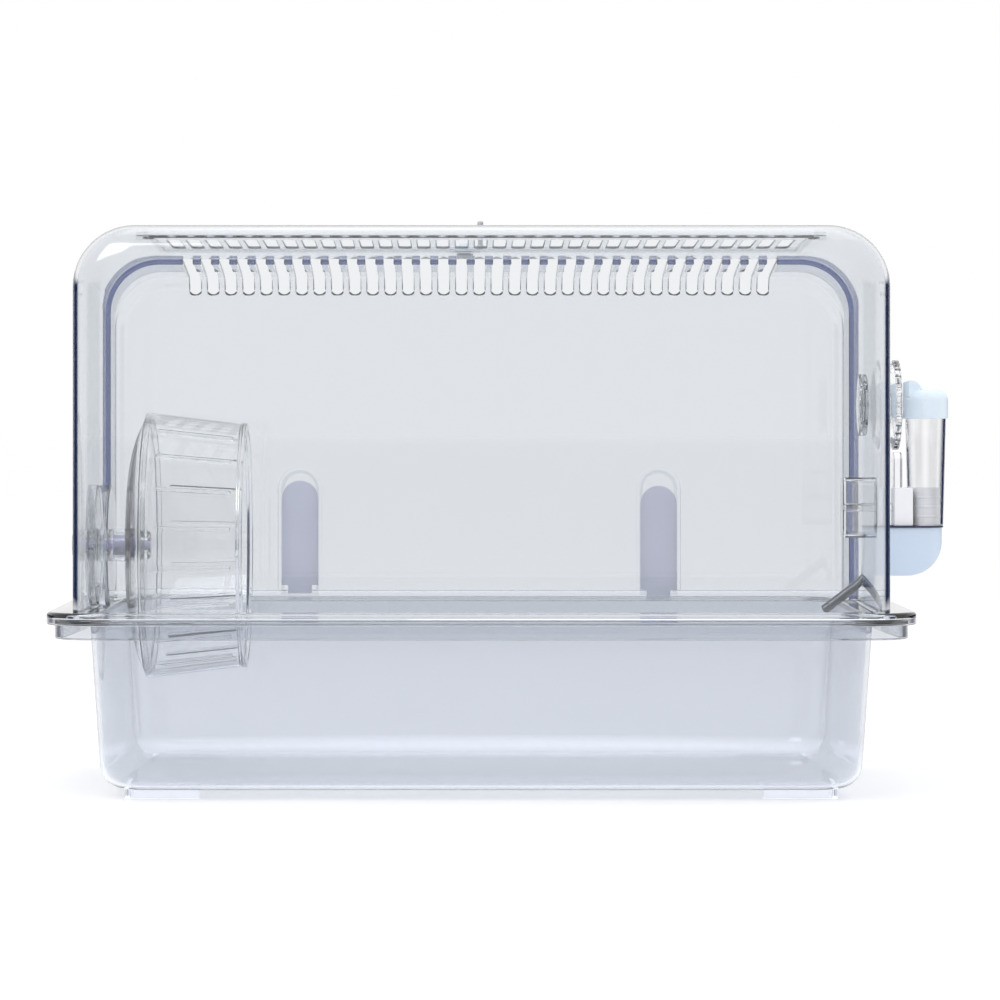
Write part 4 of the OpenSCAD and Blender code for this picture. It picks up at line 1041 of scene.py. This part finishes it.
def makeBottle():
    s = bottleSettings
    low, high = bodyLow.z, bodyHigh.z
    tube = [(s["footR"] - s["wall"], low), (s["footR"], low), (s["topR"], high),
            (s["topR"] - s["wall"], high)]
    turnPart("bottle_body", "bottle", "bottle", tube, bottleLine)

    z0 = high - s["capLap"]
    z1 = z0 + s["capHeight"]
    edge, capR, roof = s["capEdge"], s["capR"], z1 - s["capSkin"]
    inner, mouth = s["topR"] - 3, s["topR"] + 0.3
    cap = [(0, roof), (inner, roof), (inner, high + 0.3), (mouth, high + 0.3), (mouth, z0)]
    cap += [(capR, z0)] + arcPoints((capR - edge, z1 - edge), edge, 0, 90, 20) + [(0, z1)]
    piece = turnedPiece("bottle_cap", cap, bottleLine, 0.5, 128, False)
    humpAt, half = (bottleX + s["humpX"], z1 + s["humpHeight"] - s["humpR"]), s["humpWidth"] / 2
    hump = pieceOf("hump", [rodShape("y", humpAt, s["humpR"], -half, half, 64)])
    limit = [(0, z1 - 4), (capR, z1 - 4), (capR, z1 + 20), (0, z1 + 20)]
    combine(hump, pieceOf("tool", [turnedShape(limit, 128, bottleLine)]), "INTERSECT")
    bevelled(hump, 1.2, 50, 4)
    combine(piece, hump, "UNION")
    finishPiece(piece, "cap", "iceBlue", "bottle_cap")


def makeBase():
    s, n = bottleSettings, nozzleSettings
    x0, x1 = halfX + s["baseX"], gasketHigh.x - s["lip"]
    floor, r, spigot = gasketZ - s["baseHeight"], s["baseRound"], s["spigotR"]
    side = [(x0, floor)] + arcPoints((x1 - r, floor + r), r, -90, 0, 32)
    side += [(x1, gasketZ), (x0, gasketZ)]
    piece = pieceOf("bottleBase", [prismShape("z", basePlan(0, x0, x1), floor - 1, gasketZ + 1)])
    combine(piece, pieceOf("tool", [prismShape("y", side, -30, 30)]), "INTERSECT")
    bevelled(piece, 1.1, 50, 4)
    line, middle, bore = (0, nozzleWallZ), (bottleX, 0), collarR + snugFit
    join(piece, [rodShape("x", line, spigot + s["spigotStep"], x0, halfX + 10, 64)])
    join(piece, [rodShape("x", line, spigot, baseLow.x, x0 + 1, 64)])
    carve(piece, [rodShape("z", middle, bore, gasketZ - s["chamber"], gasketZ + 1, 64)])
    r, far = n["r"] + snugFit, n["length"] + 2
    carve(piece, [turnedShape([(0, -1), (r, -1), (r, far), (0, far)], 48, nozzleLine())])
    # the base takes the darker copy of the cap's ice blue: painted shade
    finishPiece(piece, "cover", "baseBlue", "bottle_base")

    plan = filleted(basePlan(s["lip"], x0, x1), 1)
    piece = pieceOf("baseGasket", [prismShape("z", plan, gasketLow.z, gasketHigh.z)])
    carve(piece, [rodShape("z", middle, bore, gasketLow.z - 1, gasketHigh.z + 1, 64)])
    finishPiece(piece, "cover", "rubber", "base_gasket")

    inner, low, height = collarR - s["collarThick"], gasketHigh.z, s["collarHeight"]
    collar, crest = [(inner, gasketZ - 6), (collarR, gasketZ - 6)], collarR + s["ridge"]
    for z in [low + height * i / 4 for i in (1, 2, 3)]:
        collar += [(collarR, z - 0.8), (crest, z - 0.3), (crest, z + 0.3), (collarR, z + 0.8)]
    collar += [(collarR, low + height), (inner, low + height)]
    turnPart("base_collar", "cover", "milky", collar, bottleLine, 0.3, 96)


def makeCradle():
    s = bottleSettings
    x0, low, high, half = cradleLow.x, gasketHigh.z, cradleHigh.z, s["baseHalf"] - 1.9
    piece = pieceOf("bottleCradle", [blockShape((x0, -half, low), (bottleX - 8.2, half, high))])
    carve(piece, [rodShape("z", (bottleX, 0), s["footR"] + 1, low - 1, high + 1, 64)])
    bevelled(piece, 0.5)
    pegHole = clampSettings["pegR"] + snugFit
    carve(piece, [rodShape("x", (0, clampZ), pegHole, x0 - 1, x0 + 3.8, 32)])
    finishPiece(piece, "cover", "milky", "bottle_cradle")

    r = s["plateWidth"] / 4
    shoulder = high + s["plateHeight"] - r
    outline = [(-2 * r, high), (2 * r, high)] + arcPoints((r, shoulder), r, 0, 90, 12)
    outline += arcPoints((-r, shoulder), r, 90, 180, 12)
    piece = pieceOf("backPlate", [prismShape("x", outline, x0, x0 + s["plateThick"])])
    bevelled(piece, 0.5, 60)
    finishPiece(piece, "cover", "fitting", "back_plate")


# The drinking nozzle and its clamp

nozzleSettings = {"slope": 37, "inside": 32.5, "length": 65.5, "r": 2.75, "bore": 2, "ballR": 1.9}
clampSettings = {"height": 35, "depth": 13, "half": 9, "corner": 5, "skin": 1.8, "pegR": 2.4}


def nozzleLine():
    # the tip at the origin, the tube along Z towards the base
    s = nozzleSettings
    turn = Matrix.Rotation(radians(90 - s["slope"]), 4, "Y")
    return (Matrix.Translation((halfX, 0, nozzleWallZ)) @ turn
            @ Matrix.Translation((0, 0, -s["inside"])))


def makeNozzle():
    s = nozzleSettings
    mouth, r, bore, end, ballR = s["ballR"] - 0.3, s["r"], s["bore"], s["length"], s["ballR"]
    tube = [(mouth, 0), (r - 0.5, 0), (r, 0.5), (r, end), (bore, end), (bore, 0.9), (mouth, 0.3)]
    turnPart("nozzle_tube", "cover", "steel", tube, nozzleLine(), 0.2, 96)
    turns = [radians(a) for a in range(0, 181, 6)]
    ball = [(ballR * sin(a), ballR * (1 - cos(a)) - 0.5) for a in turns]
    turnPart("nozzle_ball", "ball", "steel", ball, nozzleLine(), 0, 64, False)


def makeClamp():
    s = clampSettings
    end = halfX - coverSettings["wall"] - 0.3
    start, skin = end - s["depth"], s["skin"]

    def outline(inset):
        ring = planRing(s["half"] - inset, s["height"] / 2 - inset, s["corner"] - inset, 0, 12)
        return [(y, z + clampZ) for y, z, _ in ring]

    rings = [(start, 1.0), (start + 0.3, 0.3), (start + 1.0, 0), (end, 0)]
    shape = loftShape([[(x, y, z) for y, z in outline(e)] for x, e in rings])
    piece = pieceOf("innerClamp", [shape])
    carve(piece, [prismShape("x", outline(skin), start + skin, end + 1)])
    peg = rodShape("x", (0, clampZ), s["pegR"], start + skin / 2, cradleLow.x + 3.5, 48)
    join(piece, [peg])
    finishPiece(piece, "cover", "fitting", "inner_clamp")


makeBottle()
makeBase()
makeCradle()
makeNozzle()
makeClamp()
print("bottle, nozzle and clamp made")


# Slide clips, latch and pull knob

def makeClip(node):
    s = clipSettings
    low = boxOf(node)[0]
    x = middleOf(node, 0)
    z0, y0 = low.z + s["tongueLength"], halfY + s["gap"]
    top, half = z0 + s["length"], s["width"] / 2
    edge, front, soft = y0 + s["edgeThick"], y0 + s["thick"], 0.35
    piece = pieceOf(pieceName(node), [archLoft(x, half, z0, top, (
        (y0, soft), (y0 + soft, 0), (edge - soft, 0), (edge, soft)))])
    body = archLoft(x, half - s["edge"], z0, top - s["edge"], (
        (y0 + 0.6, 0), (front - 0.7, 0), (front - 0.2, 0.2), (front, 0.7)))
    join(piece, [body])
    half = s["tongueWidth"] / 2
    tongue = blockShape((x - half, y0 + 0.01, low.z), (x + half, y0 + s["tongueThick"], z0 + 1))
    join(piece, [tongue])
    root, crest, half, ribs = front - 0.5, front + s["ribOut"], s["ribWidth"] / 2, []
    for z in [z0 + rise for rise in s["ribs"]]:
        outline = [(root, z), (crest, z), (crest, z + s["ribThick"]), (root, z + s["ribThick"])]
        ribs.append(prismShape("x", filleted(outline, 0.4), x - half, x + half))
    join(piece, ribs)
    finishPiece(piece, node, "clip", node)


for node in ("clip_left", "clip_right"):
    makeClip(node)
print("clips made")


# Nodes that keep their own mesh

ownMesh = {"hatch_knob": "grey", "latch_bar": "iceBlue", "latch_tongue": "grey"}
for node, kind in ownMesh.items():
    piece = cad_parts[node]
    piece.data.materials.clear()
    piece.data.materials.append(finish[kind])
print("own meshes finished:", len(ownMesh))
